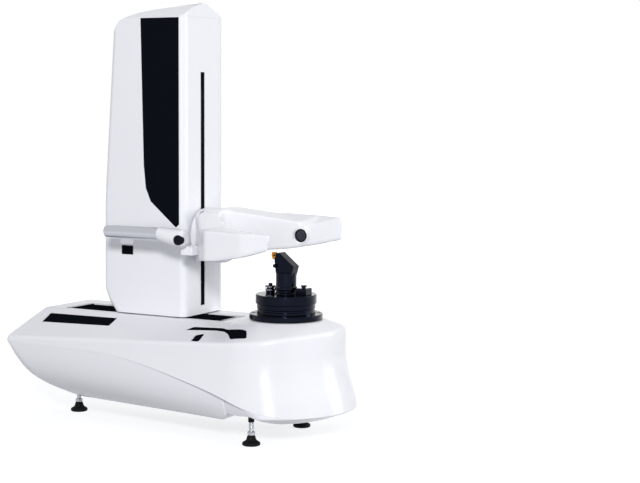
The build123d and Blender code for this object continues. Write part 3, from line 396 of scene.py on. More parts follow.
def soft_max(a, b, reach):
    """The higher of two heights, with the corner between them rounded."""
    return -soft_min(-a, -b, reach)


def ease(value, span):
    """A smooth step from 0 to 1 over a span."""
    share = min(max((value - span[0]) / (span[1] - span[0]), 0.0), 1.0)
    return share * share * (3 - 2 * share)


def new_object(name, data):
    """An object for a mesh, a lamp or a camera, linked to the scene, at the origin."""
    made = bpy.data.objects.new(name, data)
    bpy.context.scene.collection.objects.link(made)
    return made


def mesh_from(name, points, faces):
    """A mesh object from points in millimetres."""
    mesh = bpy.data.meshes.new(name)
    mesh.from_pydata([tuple(c * MM for c in p) for p in points], [], faces)
    mesh.update()
    return new_object(name, mesh)


def tidy(piece, merge=1e-6):
    """Merges points closer than a distance in metres and turns the faces outwards."""
    work = bmesh.new()
    work.from_mesh(piece.data)
    bmesh.ops.remove_doubles(work, verts=work.verts, dist=merge)
    bmesh.ops.dissolve_degenerate(work, edges=work.edges, dist=merge)
    bmesh.ops.recalc_face_normals(work, faces=work.faces)
    work.to_mesh(piece.data)
    work.free()
    piece.data.update()


def rows_to_object(name, rows):
    """A closed-round surface from rows of points, facing outwards."""
    count = len(rows[0])
    points = [p for row in rows for p in row]
    faces = []
    for low in range(0, len(points) - count, count):
        for c in range(count):
            d = (c + 1) % count
            faces.append((low + c, low + d, low + count + d, low + count + c))
    made = mesh_from(name, points, faces)
    tidy(made, 0.01 * MM)
    return made


def settle(piece):
    """Applies a piece's modifiers, so that it is a plain mesh."""
    graph = bpy.context.evaluated_depsgraph_get()
    graph.update()
    done = bpy.data.meshes.new_from_object(piece.evaluated_get(graph), depsgraph=graph)
    piece.modifiers.clear()
    old = piece.data
    piece.data = done
    bpy.data.meshes.remove(old)
    return piece


def smooth_shade(piece, degrees):
    """Smooth shading with sharp edges where faces meet at more than an angle."""
    piece.data.shade_smooth()
    piece.data.set_sharp_from_angle(angle=math.radians(degrees))


def cut(piece, cutter, operation="DIFFERENCE", solver="MANIFOLD"):
    """Cuts one piece with another and removes the cutter."""
    change = piece.modifiers.new("cut", "BOOLEAN")
    change.operation = operation
    change.solver = solver
    change.object = cutter
    settle(piece)
    bpy.data.objects.remove(cutter, do_unlink=True)
    if not piece.data.polygons:
        raise RuntimeError("nothing is left of " + piece.name + " after a cut")


def block(name, low, high):
    """A block between two corners in millimetres."""
    points = [(x, y, z) for x in (low[0], high[0]) for y in (low[1], high[1])
              for z in (low[2], high[2])]
    faces = [(0, 1, 3, 2), (4, 6, 7, 5), (0, 4, 5, 1), (2, 3, 7, 6), (0, 2, 6, 4), (1, 5, 7, 3)]
    return mesh_from(name, points, faces)


def extruded(name, points):
    """A prism from the corners of its one end and then those of its other end."""
    n = len(points) // 2
    faces = [tuple(range(n)), tuple(range(2 * n - 1, n - 1, -1))]
    faces += [(i, (i + 1) % n, n + (i + 1) % n, n + i) for i in range(n)]
    made = mesh_from(name, points, faces)
    tidy(made)
    return made


def prism(name, outline, low, high):
    """An upright prism over a plan outline in millimetres."""
    return extruded(name, [(x, y, z) for z in (low, high) for x, y in outline])


def lying_prism(name, outline, near, far):
    """A prism along Y over an outline in X and Z."""
    return extruded(name, [(x, y, z) for y in (near, far) for x, z in outline])


def disc_outline(x, y, radius, steps):
    """A circle of points."""
    turns = [math.tau * i / steps for i in range(steps)]
    return [(x + radius * math.cos(t), y + radius * math.sin(t)) for t in turns]


def window_discs(radius, inner, outer):
    """Two discs in line with the windows, one on each arm."""
    outline = disc_outline(*WINDOW_AXIS, radius, 72)
    return [lying_prism("disc", outline, *span) for span in ((-outer, -inner), (inner, outer))]


def joined(name, pieces):
    """One object in place of several."""
    whole = bmesh.new()
    for piece in pieces:
        whole.from_mesh(piece.data)
        bpy.data.objects.remove(piece, do_unlink=True)
    mesh = bpy.data.meshes.new(name)
    whole.to_mesh(mesh)
    whole.free()
    return new_object(name, mesh)


def polygon_legs(corners):
    """Each corner of a polygon, with the unit vectors from it back and on along its sides."""
    spots = [Vector(corner) for corner in corners]
    return [(spot, (before - spot).normalized(), (after - spot).normalized())
            for before, spot, after in zip(spots[-1:] + spots[:-1], spots, spots[1:] + spots[:1])]


def rounded_outline(corners, radii, counts, steps):
    """A closed outline with arcs at its corners and evenly divided straights after them."""
    arcs = []
    for (corner, back, out), radius in zip(polygon_legs(corners), radii):
        half = back.angle(out) / 2
        reach = radius / math.tan(half)
        centre = corner + (back + out).normalized() * (radius / math.sin(half))
        start = corner + back * reach - centre
        end = corner + out * reach - centre
        turn = math.atan2(start.x * end.y - start.y * end.x, start.dot(end))
        arcs.append(
            [centre + Matrix.Rotation(turn * k / steps, 2) @ start for k in range(steps + 1)])
    outline = []
    for arc, after, count in zip(arcs, arcs[1:] + arcs[:1], counts):
        outline += arc + [arc[-1].lerp(after[0], k / count) for k in range(1, count)]
    return [tuple(p) for p in outline]


def grown(corners, distance):
    """A polygon moved outwards by a distance, corner by corner."""
    area = sum(corners[i - 1][0] * y - x * corners[i - 1][1] for i, (x, y) in enumerate(corners))
    side = 1 if area > 0 else -1
    moved = []
    for corner, back, out in polygon_legs(corners):
        first = Vector((-back.y, back.x)) * side
        second = Vector((out.y, -out.x)) * side
        between = (first + second).normalized()
        moved.append(tuple(corner + between * (distance / between.dot(first))))
    return moved


def coat(piece, slot_name):
    """Gives a piece the material of a slot in place of all that it had."""
    piece.data.materials.clear()
    piece.data.materials.append(slot_material(slot_name))


def dress(piece, body, slot_name, *nodes):
    """Gives a finished piece the material of a slot, puts it under its body and hides the imported
    nodes that it takes the place of.
    """
    coat(piece, slot_name)
    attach(piece, body)
    if nodes:
        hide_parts(*nodes)
    return piece


def merge_doubles(piece, flat=None):
    """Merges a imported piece's doubled points, and its faces that are flat within an angle."""
    work = bmesh.new()
    work.from_mesh(piece.data)
    bmesh.ops.remove_doubles(work, verts=work.verts, dist=DOUBLED)
    if flat:
        bmesh.ops.dissolve_limit(work, angle_limit=flat, verts=work.verts, edges=work.edges)
    work.to_mesh(piece.data)
    work.free()


def softened(node, name, width, segments=3):
    """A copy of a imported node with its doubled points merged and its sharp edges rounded."""
    made = new_object(name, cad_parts[node].data.copy())
    merge_doubles(made, math.radians(FLAT_ANGLE))
    if width > 0:
        edge = made.modifiers.new("edge", "BEVEL")
        edge.width = width * MM
        edge.segments = segments
        edge.limit_method = "ANGLE"
        edge.angle_limit = math.radians(EDGE_ANGLE)
        settle(made)
    smooth_shade(made, SHARP_ANGLE)
    even = made.modifiers.new("even", "WEIGHTED_NORMAL")
    even.keep_sharp = True
    return settle(made)


# Surfaces of the base

flare_spline = spline_through(FLARE_BY_HEIGHT)
tray_spline = spline_through(TRAY_FLARE_BY_HEIGHT)
waist = spline_through(WAIST)
hull_splines = [spline_through(zip(HULL_HEIGHTS, sizes)) for sizes in HULL_SIZES]


def flare(z):
    """How far the round end stands out at a height."""
    return max(min(flare_spline(z), FLARE_BY_HEIGHT[0][1]), 0.0)


def deck_height(x, y, blend):
    """Height of the cover over a point in plan, with soft lines between its facets."""
    share = (x - BASE_LEFT) / (SPINDLE_X - BASE_LEFT)
    fall = DECK_Z - CREASE_Z_LEFT - share * (CREASE_Z_RIGHT - CREASE_Z_LEFT)
    front = DECK_Z - fall * (DECK_FRONT_Y - y) / (BASE_HALF_DEPTH + DECK_FRONT_Y)
    rear = DECK_Z - fall * (y - DECK_REAR_Y) / (BASE_HALF_DEPTH - DECK_REAR_Y)
    deck = soft_min(soft_min(DECK_Z, front, blend), rear, blend)
    slope = BOSS_Z - BOSS_SLOPE * (math.hypot(x - SPINDLE_X, y) - BOSS_RADIUS)
    cone = soft_min(BOSS_Z, slope, blend * BOSS_BLEND_SHARE)
    fade = min(max((SPINDLE_X - x) / BOSS_FADE, 0.0), 1.0)
    height = cone + (soft_max(deck, cone, blend) - cone) * fade
    rake = END_CREASE_Z + (x - BASE_LEFT) * (DECK_Z - END_CREASE_Z) / (DECK_LEFT - BASE_LEFT)
    return soft_min(height, rake, blend * END_BLEND_SHARE)


def base_plan(inset):
    """Plan of the base as (x, y, growth of x, growth of y) for each millimetre of flare."""
    nose, flank, corner, end = PLAN_STEPS
    half = BASE_HALF_DEPTH - inset
    left = BASE_LEFT + inset
    arc_x = left + PLAN_CORNER
    arc_y = half - PLAN_CORNER

    def nose_spot(turn):
        c, s = math.cos(turn), math.sin(turn)
        return NOSE_CENTRE_X + half * c, half * s, c, FLANK_FLARE_SHARE * s

    def flank_spot(x, hand):
        grow = hand * FLANK_FLARE_SHARE * (x - left) / (NOSE_CENTRE_X - left)
        return x, hand * half, 0.0, grow

    def corner_spot(turn, y):
        return arc_x + PLAN_CORNER * math.cos(turn), y + PLAN_CORNER * math.sin(turn), 0.0, 0.0

    spots = [nose_spot(math.pi * (i / nose - 0.5)) for i in range(nose)]
    spots += [flank_spot(NOSE_CENTRE_X + (arc_x - NOSE_CENTRE_X) * i / flank, 1)
              for i in range(flank)]
    spots += [corner_spot(math.pi / 2 * (1 + i / corner), arc_y) for i in range(corner)]
    spots += [(left, arc_y * (1 - 2 * i / end), 0.0, 0.0) for i in range(end)]
    spots += [corner_spot(math.pi / 2 * (2 + i / corner), -arc_y) for i in range(corner)]
    spots += [flank_spot(arc_x + (NOSE_CENTRE_X - arc_x) * i / flank, -1) for i in range(flank)]
    return spots


def plan_at(spot, z):
    """Place of one point of the plan at a height."""
    grow = flare(z)
    return Vector((spot[0] + spot[2] * grow, spot[1] + spot[3] * grow))


def waist_height(wall, search, gap=0.0):
    """Height where a wall meets the waist line; wall gives its place at a height."""
    z, rounds = search
    for _ in range(rounds):
        z = waist(wall(z).x) - gap
    return z


def rounding(first, bend, last, steps):
    """Points of a rounded corner after its first point."""
    shares = [k / steps for k in range(1, steps + 1)]
    return [first * (1 - t) ** 2 + bend * 2 * t * (1 - t) + last * t * t for t in shares]


def wall_points(wall, start, end, steps):
    """Points of a wall from one height to another, after its first point."""
    heights = [start + (end - start) * k / steps for k in range(1, steps + 1)]
    return [Vector((*wall(z), z)) for z in heights]


def cover_rows(inset, steps, fine, shell):
    """Rows of points over the cover, from its middle out over the crease and down to the waist."""
    shares = sorted(fine | {k / steps[0] for k in range(steps[0] + 1)})
    columns = []
    for spot in base_plan(inset):
        wall = partial(plan_at, spot)
        outer = wall(RIM_GUESS)
        for _ in range(2):
            rim = deck_height(*outer, shell.facet_blend) - inset
            outer = wall(rim)
        foot = waist_height(wall, COVER_WAIST_SEARCH)
        reach = min(shell.crease, CREASE_SHARE * (rim - foot))
        middle = Vector((min(max(outer.x, RIDGE_LEFT), NOSE_CENTRE_X), 0.0))
        start = outer + (middle - outer).normalized() * reach
        places = [middle.lerp(start, share) for share in shares]
        column = [Vector((*p, deck_height(*p, shell.facet_blend) - inset)) for p in places]
        low = rim - reach
        bend, last = Vector((*outer, rim)), Vector((*wall(low), low))
        column += rounding(column[-1], bend, last, CREASE_ROWS)
        column += wall_points(wall, low, foot, steps[1])
        columns.append(column)
    return list(zip(*columns))


def skin_block(name, corners, top_drop, floor_drop, blend):
    """A block over a rectangle in plan; its floor follows the cover's skin, and its top may too."""
    (x0, y0), (x1, y1) = corners
    across = int((x1 - x0) / SKIN_STEP) + 1
    along = int((y1 - y0) / SKIN_STEP) + 1
    floor, top = [], []
    for j in range(along + 1):
        for i in range(across + 1):
            x = x0 + (x1 - x0) * i / across
            y = y0 + (y1 - y0) * j / along
            skin = deck_height(x, y, blend)
            floor.append((x, y, skin - floor_drop))
            top.append((x, y, CLEAR_Z if top_drop is None else skin - top_drop))
    wide = across + 1
    layer = len(floor)
    faces = []
    for j in range(along):
        for i in range(across):
            a = j * wide + i
            faces.append((a, a + wide, a + wide + 1, a + 1))
            faces.append((layer + a, layer + a + 1, layer + a + wide + 1, layer + a + wide))
    edge = [*range(across), *(j * wide + across for j in range(along))]
    edge += [along * wide + i for i in range(across, 0, -1)]
    edge += [j * wide for j in range(along, 0, -1)]
    faces += [(a, b, layer + b, layer + a) for a, b in zip(edge, edge[1:] + edge[:1])]
    made = mesh_from(name, floor + top, faces)
    tidy(made)
    return made


def skin_piece(name, outline, top_drop, floor_drop, blend):
    """The part of a skin block inside a plan outline."""
    xs, ys = zip(*outline)
    low = (min(xs) - SKIN_MARGIN, min(ys) - SKIN_MARGIN)
    high = (max(xs) + SKIN_MARGIN, max(ys) + SKIN_MARGIN)
    made = skin_block(name, (low, high), top_drop, floor_drop, blend)
    cut(made, prism("outline", outline, *SKIN_LEVELS), "INTERSECT")
    return made


def inlay_outlines(play):
    """Plans of the bare plate, the arch and the tab, with the play round them."""
    plans = []
    for corners, radius in INLAY_PLANS:
        moved = grown(corners, play) if play > 0 else corners
        plans.append(rounded_outline(moved, [radius + play] * len(moved), [6] * len(moved), 5))
    return plans


def hull_outline(z):
    """Plan of the lower pan at a height, from its right front corner round to the left and back."""
    left, half_left, half_right, radius = (spline(z) for spline in hull_splines)
    corners = (
        (PAN_RIGHT, -half_right), (PAN_RIGHT, half_right), (left, half_left), (left, -half_left))
    return rounded_outline(corners, (PAN_CORNER, PAN_CORNER, radius, radius), PAN_STEPS, 10)


def bowl_column(wall, floor, middle, base, reaches, rim, steps):
    """Points from the middle of a floor out over its rounded edge and up a wall to the rim.

    The base is the edge's height. The reaches of its rounding are inwards and upwards, and the
    steps are those of the floor and of the rounding.
    """
    edge = wall(base)
    start = edge + (middle - edge).normalized() * reaches[0]
    places = [middle.lerp(start, k / steps[0]) for k in range(steps[0] + 1)]
    column = [Vector((*p, floor(p))) for p in places]
    above = base + reaches[1]
    bend, last = Vector((*edge, base)), Vector((*wall(above), above))
    column += rounding(column[-1], bend, last, steps[1])
    return column + wall_points(wall, above, rim, BOWL_WALL_STEPS)


def finished_bowl(name, columns, shell, opening, feet, shade):
    """A bowl with its wall, cut open towards its neighbour and bored for its feet."""
    bowl = rows_to_object(name, list(zip(*columns)))
    wall = bowl.modifiers.new("wall", "SOLIDIFY")
    wall.thickness = shell.pan_wall * MM
    wall.offset = -1
    wall.use_even_offset = True
    settle(bowl)
    cut(bowl, block("opening", *opening))
    for place in feet:
        cut(bowl, prism("opening", disc_outline(*place, FOOT_HOLE, 40), *FOOT_HOLE_LEVELS))
    smooth_shade(bowl, shade)
    return bowl


# Pieces


def make_cover(shell):
    """The upper cover of the base with its openings and recesses."""
    fine = {share + FINE_STEP * k for share in FINE_SHARES for k in range(-6, 7)}
    skin = cover_rows(0.0, COVER_ROWS, fine, shell)
    lining = cover_rows(shell.wall, LINING_ROWS, set(), shell)
    cover = rows_to_object("base_upper_cover", skin + lining[::-1])
    left, right, half = BAND
    cut(cover, block("opening", (left, -half, BAND_FLOOR_Z), (right, half, CLEAR_Z)))
    hole = disc_outline(SPINDLE_X, 0, HOUSING_HOLE, 160)
    cut(cover, prism("opening", hole, HOUSING_FLOOR_Z, CLEAR_Z))
    for outline in inlay_outlines(INLAY_PLAY):
        cut(cover, skin_piece("pocket", outline, None, INLAY_FLOOR, shell.facet_blend))
    cut(cover, block("opening", *SOCKET_OPENING))
    smooth_shade(cover, COVER_SHARP)
    return dress(cover, "base", "gloss_white", "base_cover")


def make_pan(shell):
    """The boat-shaped pan under the left and middle of the base."""
    low = HULL_HEIGHTS[0]
    table = [[Vector(p) for p in hull_outline(low + k)] for k in range(HULL_LEVELS + 1)]

    def at(j, z):
        share = min(max(z - low, 0.0), HULL_LEVELS - 0.001)
        k = int(share)
        return table[k][j].lerp(table[k + 1][j], share - k)

    def floor(place):
        return soft_max(low, low + (place.x - HEEL[0]) * HEEL[1], FLOOR_BLEND)

    columns = []
    for j in range(len(table[0])):
        wall = partial(at, j)
        base = floor(wall(low))
        middle = Vector((min(max(wall(base).x, KEEL[0]), KEEL[1]), 0.0))
        reach = BILGE_REACH if base < low + 3 else HEEL_REACH
        rim = waist_height(wall, PAN_WAIST_SEARCH, SEAM)
        columns.append(
            bowl_column(wall, floor, middle, base, (reach, reach), rim, PAN_FLOOR_STEPS))
    pan = finished_bowl(
        "base_lower_pan", columns, shell, PAN_OPENING, FOOT_PLACES[:1], PAN_SHARP)
    return dress(pan, "base", "gloss_white", "base_pan")


def tray_reach(turn, z):
    """How far the tray reaches from the middle of the round end, in a direction at a height."""
    c, side = math.cos(turn), abs(math.sin(turn))
    (low_z, low_flare), (lip_z, lip_flare) = UNDERCUT
    under = low_flare + (z - low_z) * (lip_flare - low_flare) / (lip_z - low_z)
    found = []
    for grow in (tray_spline(z), under):
        wide = BASE_HALF_DEPTH + FLANK_FLARE_SHARE * grow
        if c >= 0:
            found.append(1 / math.hypot(c / (BASE_HALF_DEPTH + grow), side / wide))
        else:
            spread = (wide - BASE_HALF_DEPTH) * c / (NOSE_CENTRE_X - BASE_LEFT)
            found.append(wide / max(side - spread, 0.01))
    flank = hull_splines[2](z) + FLANK_SPREAD * (NOSE_CENTRE_X - PAN_RIGHT)
    found.append(flank / max(side - FLANK_SPREAD * c, 0.01))
    lip_blend, flank_blend = TRAY_BLENDS
    reach = soft_min(soft_min(found[0], found[1], lip_blend), found[2], flank_blend)
    reach = min(reach, TRAY_FARTHEST)
    if c < 0:
        reach = min(reach, (NOSE_CENTRE_X - PAN_RIGHT - SEAM) / -c)
    return reach


def make_nose_tray(shell):
    """The tray under the round end, cut back all round below its lip."""
    corner = math.atan2(TRAY_CORNER_Y, PAN_RIGHT + SEAM - NOSE_CENTRE_X)
    half, side = TRAY_STEPS
    turns = [corner * (k / half - 1) for k in range(2 * half + 1)]
    turns += [corner + (math.tau - 2 * corner) * k / side for k in range(1, side)]
    rounds, share = TRAY_EDGE_SEARCH
    fall_x, fall_z, slope = TRAY_FALL
    low_lift, more_lift, rise, fade, outward = TRAY_EDGE_LIFT
    middle = Vector((NOSE_CENTRE_X, 0.0))

    def floor(place):
        flat = soft_max(fall_z, fall_z + (fall_x - place.x) * slope, FLOOR_BLEND)
        lift = (low_lift + more_lift * ease(place.x, rise)) * (1 - ease(place.x, fade))
        return flat + lift * ease(abs(place.y), outward)

    def at(turn, z):
        reach = tray_reach(turn, z)
        return Vector((NOSE_CENTRE_X + reach * math.cos(turn), reach * math.sin(turn)))

    columns = []
    for turn in turns:
        wall = partial(at, turn)
        base = fall_z
        for _ in range(rounds):
            base += share * (floor(wall(base)) - base)
        rim = waist_height(wall, TRAY_WAIST_SEARCH, SEAM)
        columns.append(
            bowl_column(wall, floor, middle, base, TRAY_ROUNDING, rim, TRAY_FLOOR_STEPS))
    tray = finished_bowl(
        "nose_tray", columns, shell, TRAY_OPENING, FOOT_PLACES[1:], TRAY_SHARP)
    return dress(tray, "base", "gloss_white", "nose_pan")


def make_feet():
    """The bell-shaped pads under the feet."""
    name = "levelling_pads"
    rows = ([[(*p, z) for p in disc_outline(*place, r, 48)] for r, z in PAD_PROFILE]
            for place in FOOT_PLACES)
    pads = joined(name, [rows_to_object(name, turned) for turned in rows])
    smooth_shade(pads, SOFT_SHARP)
    return dress(pads, "base", "rubber", "foot_pads")


def make_vent_sheet():
    """A dark sheet that closes the vent slots of the tower from inside: painted shade for the
    tower's inside where it shows through the slot.
    """
    return dress(block("dust_filter", *VENT_SHEET), "column", "rubber")


def make_belts():
    """The two runs of the steel belt, whose lower ends meet the carriage and the weight, as copies
    fixed in place.
    """
    made = []
    for node, name, mover in BELT_RUNS:
        run = softened(node, name, 0)
        coat(run, "black_steel")
        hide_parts(node)
        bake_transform(run)
        made.append(run)
    return made


def make_inlays(shell):
    """The bare black plate and the arch-shaped inlay with its tab."""
    plate, arch, tab = [
        skin_piece("inlay", outline, INLAY_TOP, INLAY_FLOOR, shell.facet_blend)
        for outline in inlay_outlines(0)]
    plate.name = "bare_plate"
    arch = joined("arch_inlay", (arch, tab))
    for piece, node in ((plate, "name_plate"), (arch, "control_inlay")):
        smooth_shade(piece, INLAY_SHARP)
        dress(piece, "base", "gloss_black", node)
    return plate, arch


def joined_fork():
    """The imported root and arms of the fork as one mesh, with the arms pushed into the root."""
    pieces = []
    for node, *_ in FORK_PARTS:
        piece = new_object("fork_part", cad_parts[node].data.copy())
        if node != "yoke_casting":
            piece.data.transform(Matrix.Translation((-ARM_PUSH * MM, 0, 0)))
        pieces.append(piece)
    fork = joined("fork", pieces)
    merge_doubles(fork)
    return fork


def make_fork(shell):
    """The fork's root and its two arms, rounded as one casting and then parted."""
    fork = joined_fork()
    bay = grown(MODULE_BAY, BAY_GROWTH)
    fills = [([(x, hand * y) for x, y in bay], side) for hand, side in MODULE_SIDES]
    for plan, side in (*fills, (LAMP_ARM_PLAN, LAMP_ARM_TIP)):
        fill = prism("fill", plan, *FILL_LEVELS)
        cut(fill, lying_prism("side", side, -FILL_HALF_DEPTH, FILL_HALF_DEPTH), "INTERSECT")
        cut(fork, fill, "UNION", "EXACT")
    for disc in window_discs(WINDOW_RADIUS + RIM_WIDTH, *RIM_DEPTHS):
        cut(fork, disc, "UNION", "EXACT")
    even = fork.modifiers.new("even", "REMESH")
    even.mode = "VOXEL"
    even.voxel_size = shell.fork_grain * MM
    soft = fork.modifiers.new("soft", "SMOOTH")
    soft.factor = 0.5
    soft.iterations = shell.fork_softness
    settle(fork)
    for disc in window_discs(WINDOW_RADIUS, *WINDOW_DEPTHS):
        cut(fork, disc)
    made = []
    for node, name, low, high in FORK_PARTS:
        piece = new_object(name, fork.data.copy())
        cut(piece, block("half", low, high), "INTERSECT")
        smooth_shade(piece, SOFT_SHARP)
        made.append(dress(piece, "optics", "gloss_white", node))
    bpy.data.objects.remove(fork, do_unlink=True)
    return made


def knurl_group():
    """Node group that sets a ring of ridges round a screw head."""
    tree = bpy.data.node_groups.new("Ring of ridges", "GeometryNodeTree")
    sides = tree.interface
    sides.new_socket("Geometry", in_out="OUTPUT", socket_type="NodeSocketGeometry")
    for name, kind in (("Count", "Int"), ("Seed", "Int"), ("Radius", "Float"), ("Length", "Float"),
                       ("Ridge", "Float"), ("Centre", "Vector")):
        sides.new_socket(name, in_out="INPUT", socket_type="NodeSocket" + kind)
    given = add_node(tree, "NodeGroupInput").outputs
    ring = add_node(tree, "GeometryNodeMeshCircle", {
        "Vertices": given["Count"], "Radius": given["Radius"]})
    stood = add_node(tree, "GeometryNodeTransform", {
        "Geometry": ring, "Translation": given["Centre"]})
    spot = add_node(tree, "GeometryNodeInputPosition")
    out = add_node(
        tree, "ShaderNodeVectorMath", {0: spot, 1: given["Centre"]}, operation="SUBTRACT")
    turn = add_node(tree, "FunctionNodeAlignEulerToVector", {"Vector": out}, axis="X")
    size = add_node(tree, "ShaderNodeCombineXYZ", {
        "X": given["Ridge"], "Y": given["Ridge"], "Z": given["Length"]})
    ridge = add_node(tree, "GeometryNodeMeshCube", {"Size": size})
    least, most = KNURL_WEAR
    worn = add_node(tree, "FunctionNodeRandomValue", {
        "Min": least, "Max": most, "Seed": given["Seed"]}, data_type="FLOAT_VECTOR")
    ridges = add_node(tree, "GeometryNodeInstanceOnPoints", {
        "Points": stood, "Instance": ridge, "Rotation": turn, "Scale": worn})
    real = add_node(tree, "GeometryNodeRealizeInstances", {"Geometry": ridges})
    coated = add_node(tree, "GeometryNodeSetMaterial", {
        "Geometry": real, "Material": slot_material("bright_steel")})
    add_node(tree, "NodeGroupOutput", {"Geometry": coated})
    return tree


def make_knurl(detail):
    """The ridges of the clamp screw's two discs, which turn with the spindle."""
    x, radius, heights = CLAMP_SCREW
    width, length = KNURL_RIDGE
    group = knurl_group()
    rings = []
    for height in heights:
        ring = new_object("clamp_screw_knurl", bpy.data.meshes.new("clamp_screw_knurl"))
        repeat = ring.modifiers.new("ridges", "NODES")
        repeat.node_group = group
        values = {
            "Count": detail.knurl_count, "Seed": detail.knurl_seed, "Radius": radius * MM,
            "Length": length * MM, "Ridge": width * MM, "Centre": (x * MM, 0.0, height * MM),
        }
        for item in group.interface.items_tree:
            if item.in_out == "INPUT":
                repeat[item.identifier] = values[item.name]
        rings.append(dress(settle(ring), "spindle", "bright_steel"))
    return rings


# Materials


def shader_tree(data):
    """The emptied node tree of a material or a world."""
    data.use_nodes = True
    data.node_tree.nodes.clear()
    return data.node_tree


def add_relief(tree, shader, height, depth):
    """Lets a height stand out of a shader's surface, to a depth in millimetres."""
    relief = add_node(tree, "ShaderNodeBump", {
        "Strength": 1.0, "Distance": depth * MM, "Height": height})
    tree.links.new(relief.outputs[0], shader.inputs["Normal"])


def surface(name, colour, roughness, spread, grain, bump, specular=0.5, stretch=(1, 1, 1), **extra):
    """A procedural finish whose roughness and relief vary with a grain, in millimetres."""
    made = bpy.data.materials.new(name)
    tree = shader_tree(made)
    spot = add_node(tree, "ShaderNodeTexCoord").outputs["Object"]
    scaled = add_node(tree, "ShaderNodeMapping", {"Vector": spot, "Scale": stretch})
    noise = add_node(tree, "ShaderNodeTexNoise", {
        "Vector": scaled, "Scale": 1 / (grain * MM), "Detail": 3.0, "Roughness": 0.55})
    rough = add_node(tree, "ShaderNodeMapRange", {
        "Value": noise, "To Min": max(roughness - spread, 0.02), "To Max": roughness + spread})
    shader = add_node(tree, "ShaderNodeBsdfPrincipled", {
        "Base Color": linear(colour), "Roughness": rough, "Specular IOR Level": specular, **extra})
    if bump > 0:
        add_relief(tree, shader, noise, bump)
    add_node(tree, "ShaderNodeOutputMaterial", {"Surface": shader})
    return made


def turned_rings(material, pitch, depth):
    """Adds the fine grooves of turning about the spindle's axis to a material."""
    tree = material.node_tree
    shader = next(n for n in tree.nodes if n.type == "BSDF_PRINCIPLED")
    spot = add_node(tree, "ShaderNodeTexCoord").outputs["Object"]
    kind = "ShaderNodeVectorMath"
    moved = add_node(tree, kind, {0: spot, 1: (SPINDLE_X * MM, 0, 0)}, operation="SUBTRACT")
    flat = add_node(tree, kind, {0: moved, 1: (1, 1, 0)}, operation="MULTIPLY")
    away = add_node(tree, kind, {0: flat}, operation="LENGTH").outputs["Value"]
    up = add_node(tree, "ShaderNodeSeparateXYZ", {0: moved}).outputs["Z"]
    kind = "ShaderNodeMath"
    along = add_node(tree, kind, {0: away, 1: up}, operation="ADD")
    phase = add_node(tree, kind, {0: along, 1: math.tau / (pitch * MM)}, operation="MULTIPLY")
    add_relief(tree, shader, add_node(tree, kind, {0: phase}, operation="SINE"), depth)
    return material


def make_materials(finish):
    """The procedural materials, by the record's slot."""
    return {
        # broad soft highlights on white, with the faint ripple of sprayed lacquer
        "gloss_white": surface("White lacquer", finish.lacquer, 0.17, 0.02, 2.6, 0.003, 0.3),
        # deep even black that mirrors nothing of the room
        "gloss_black": surface("Black film", finish.film, 0.45, 0.03, 4.0, 0.002, 0.0),
        # dull black of moulded trim
        "satin_black": surface("Satin black plastic", "0E1014", 0.55, 0.06, 0.4, 0.006, 0.12),
        # lumpy grey enamel over cast iron
        "cast_grey": surface("Grey enamel on cast iron", "6E7276", 0.42, 0.08, 1.8, 0.05),
        # long fine scratches along the ways
        "ground_steel": surface(
            "Ground steel", "A9ABB0", 0.3, 0.08, 0.5, 0.003, stretch=(0.02, 1, 1), Metallic=1.0),
        # dark blue-black metal with turning rings in its highlights
        "black_steel": turned_rings(
            surface("Black oxide steel", finish.oxide, 0.12, 0.04, 0.8, 0.0, Metallic=1.0),
            0.6, 0.0012),
        # bright sharp reflections
        "bright_steel": surface(
            "Polished hardened steel", "D4D6DA", 0.12, 0.03, 0.5, 0.0, Metallic=1.0),
        # even silver with a very fine grain
        "satin_aluminium": surface(
            "Silver anodised aluminium", finish.anodised, 0.3, 0.04, 0.12, 0.002, Metallic=1.0),
        # bluish bright plating with thread grooves
        "zinc": turned_rings(
            surface("Bright zinc plating", "B4B8BF", 0.26, 0.06, 0.6, 0.0, Metallic=1.0),
            1.5, 0.12),
        # dead matt black that swallows light
        "rubber": surface("Moulded rubber", "0B0B0D", 0.7, 0.08, 0.7, 0.02, 0.15),
        # warm gold of a coated cutting insert
        "gold_carbide": surface(
            "Gold coated carbide", finish.carbide, 0.25, 0.05, 0.2, 0.002, Metallic=1.0),
        # black window with a faint purple bloom
        "lens_glass": surface(
            "Coated window glass", "050507", 0.04, 0.01, 3.0, 0.0, **{
                "Coat Weight": 1.0, "Coat Roughness": 0.02, "Coat Tint": linear("C9C2F2")}),
    }


materials = {}


def slot_material(slot_name):
    """The material of a slot, made once."""
    if not materials:
        materials.update(make_materials(bpy.context.scene.presetter_finish))
    return materials[slot_name]


# Shells of the tower: node and name
TOWER_SHELLS = (
    ("column_cover", "tower_front_shell"),
    ("column_rear_cover", "tower_rear_shell"),
    ("column_cap", "tower_roof"),
)

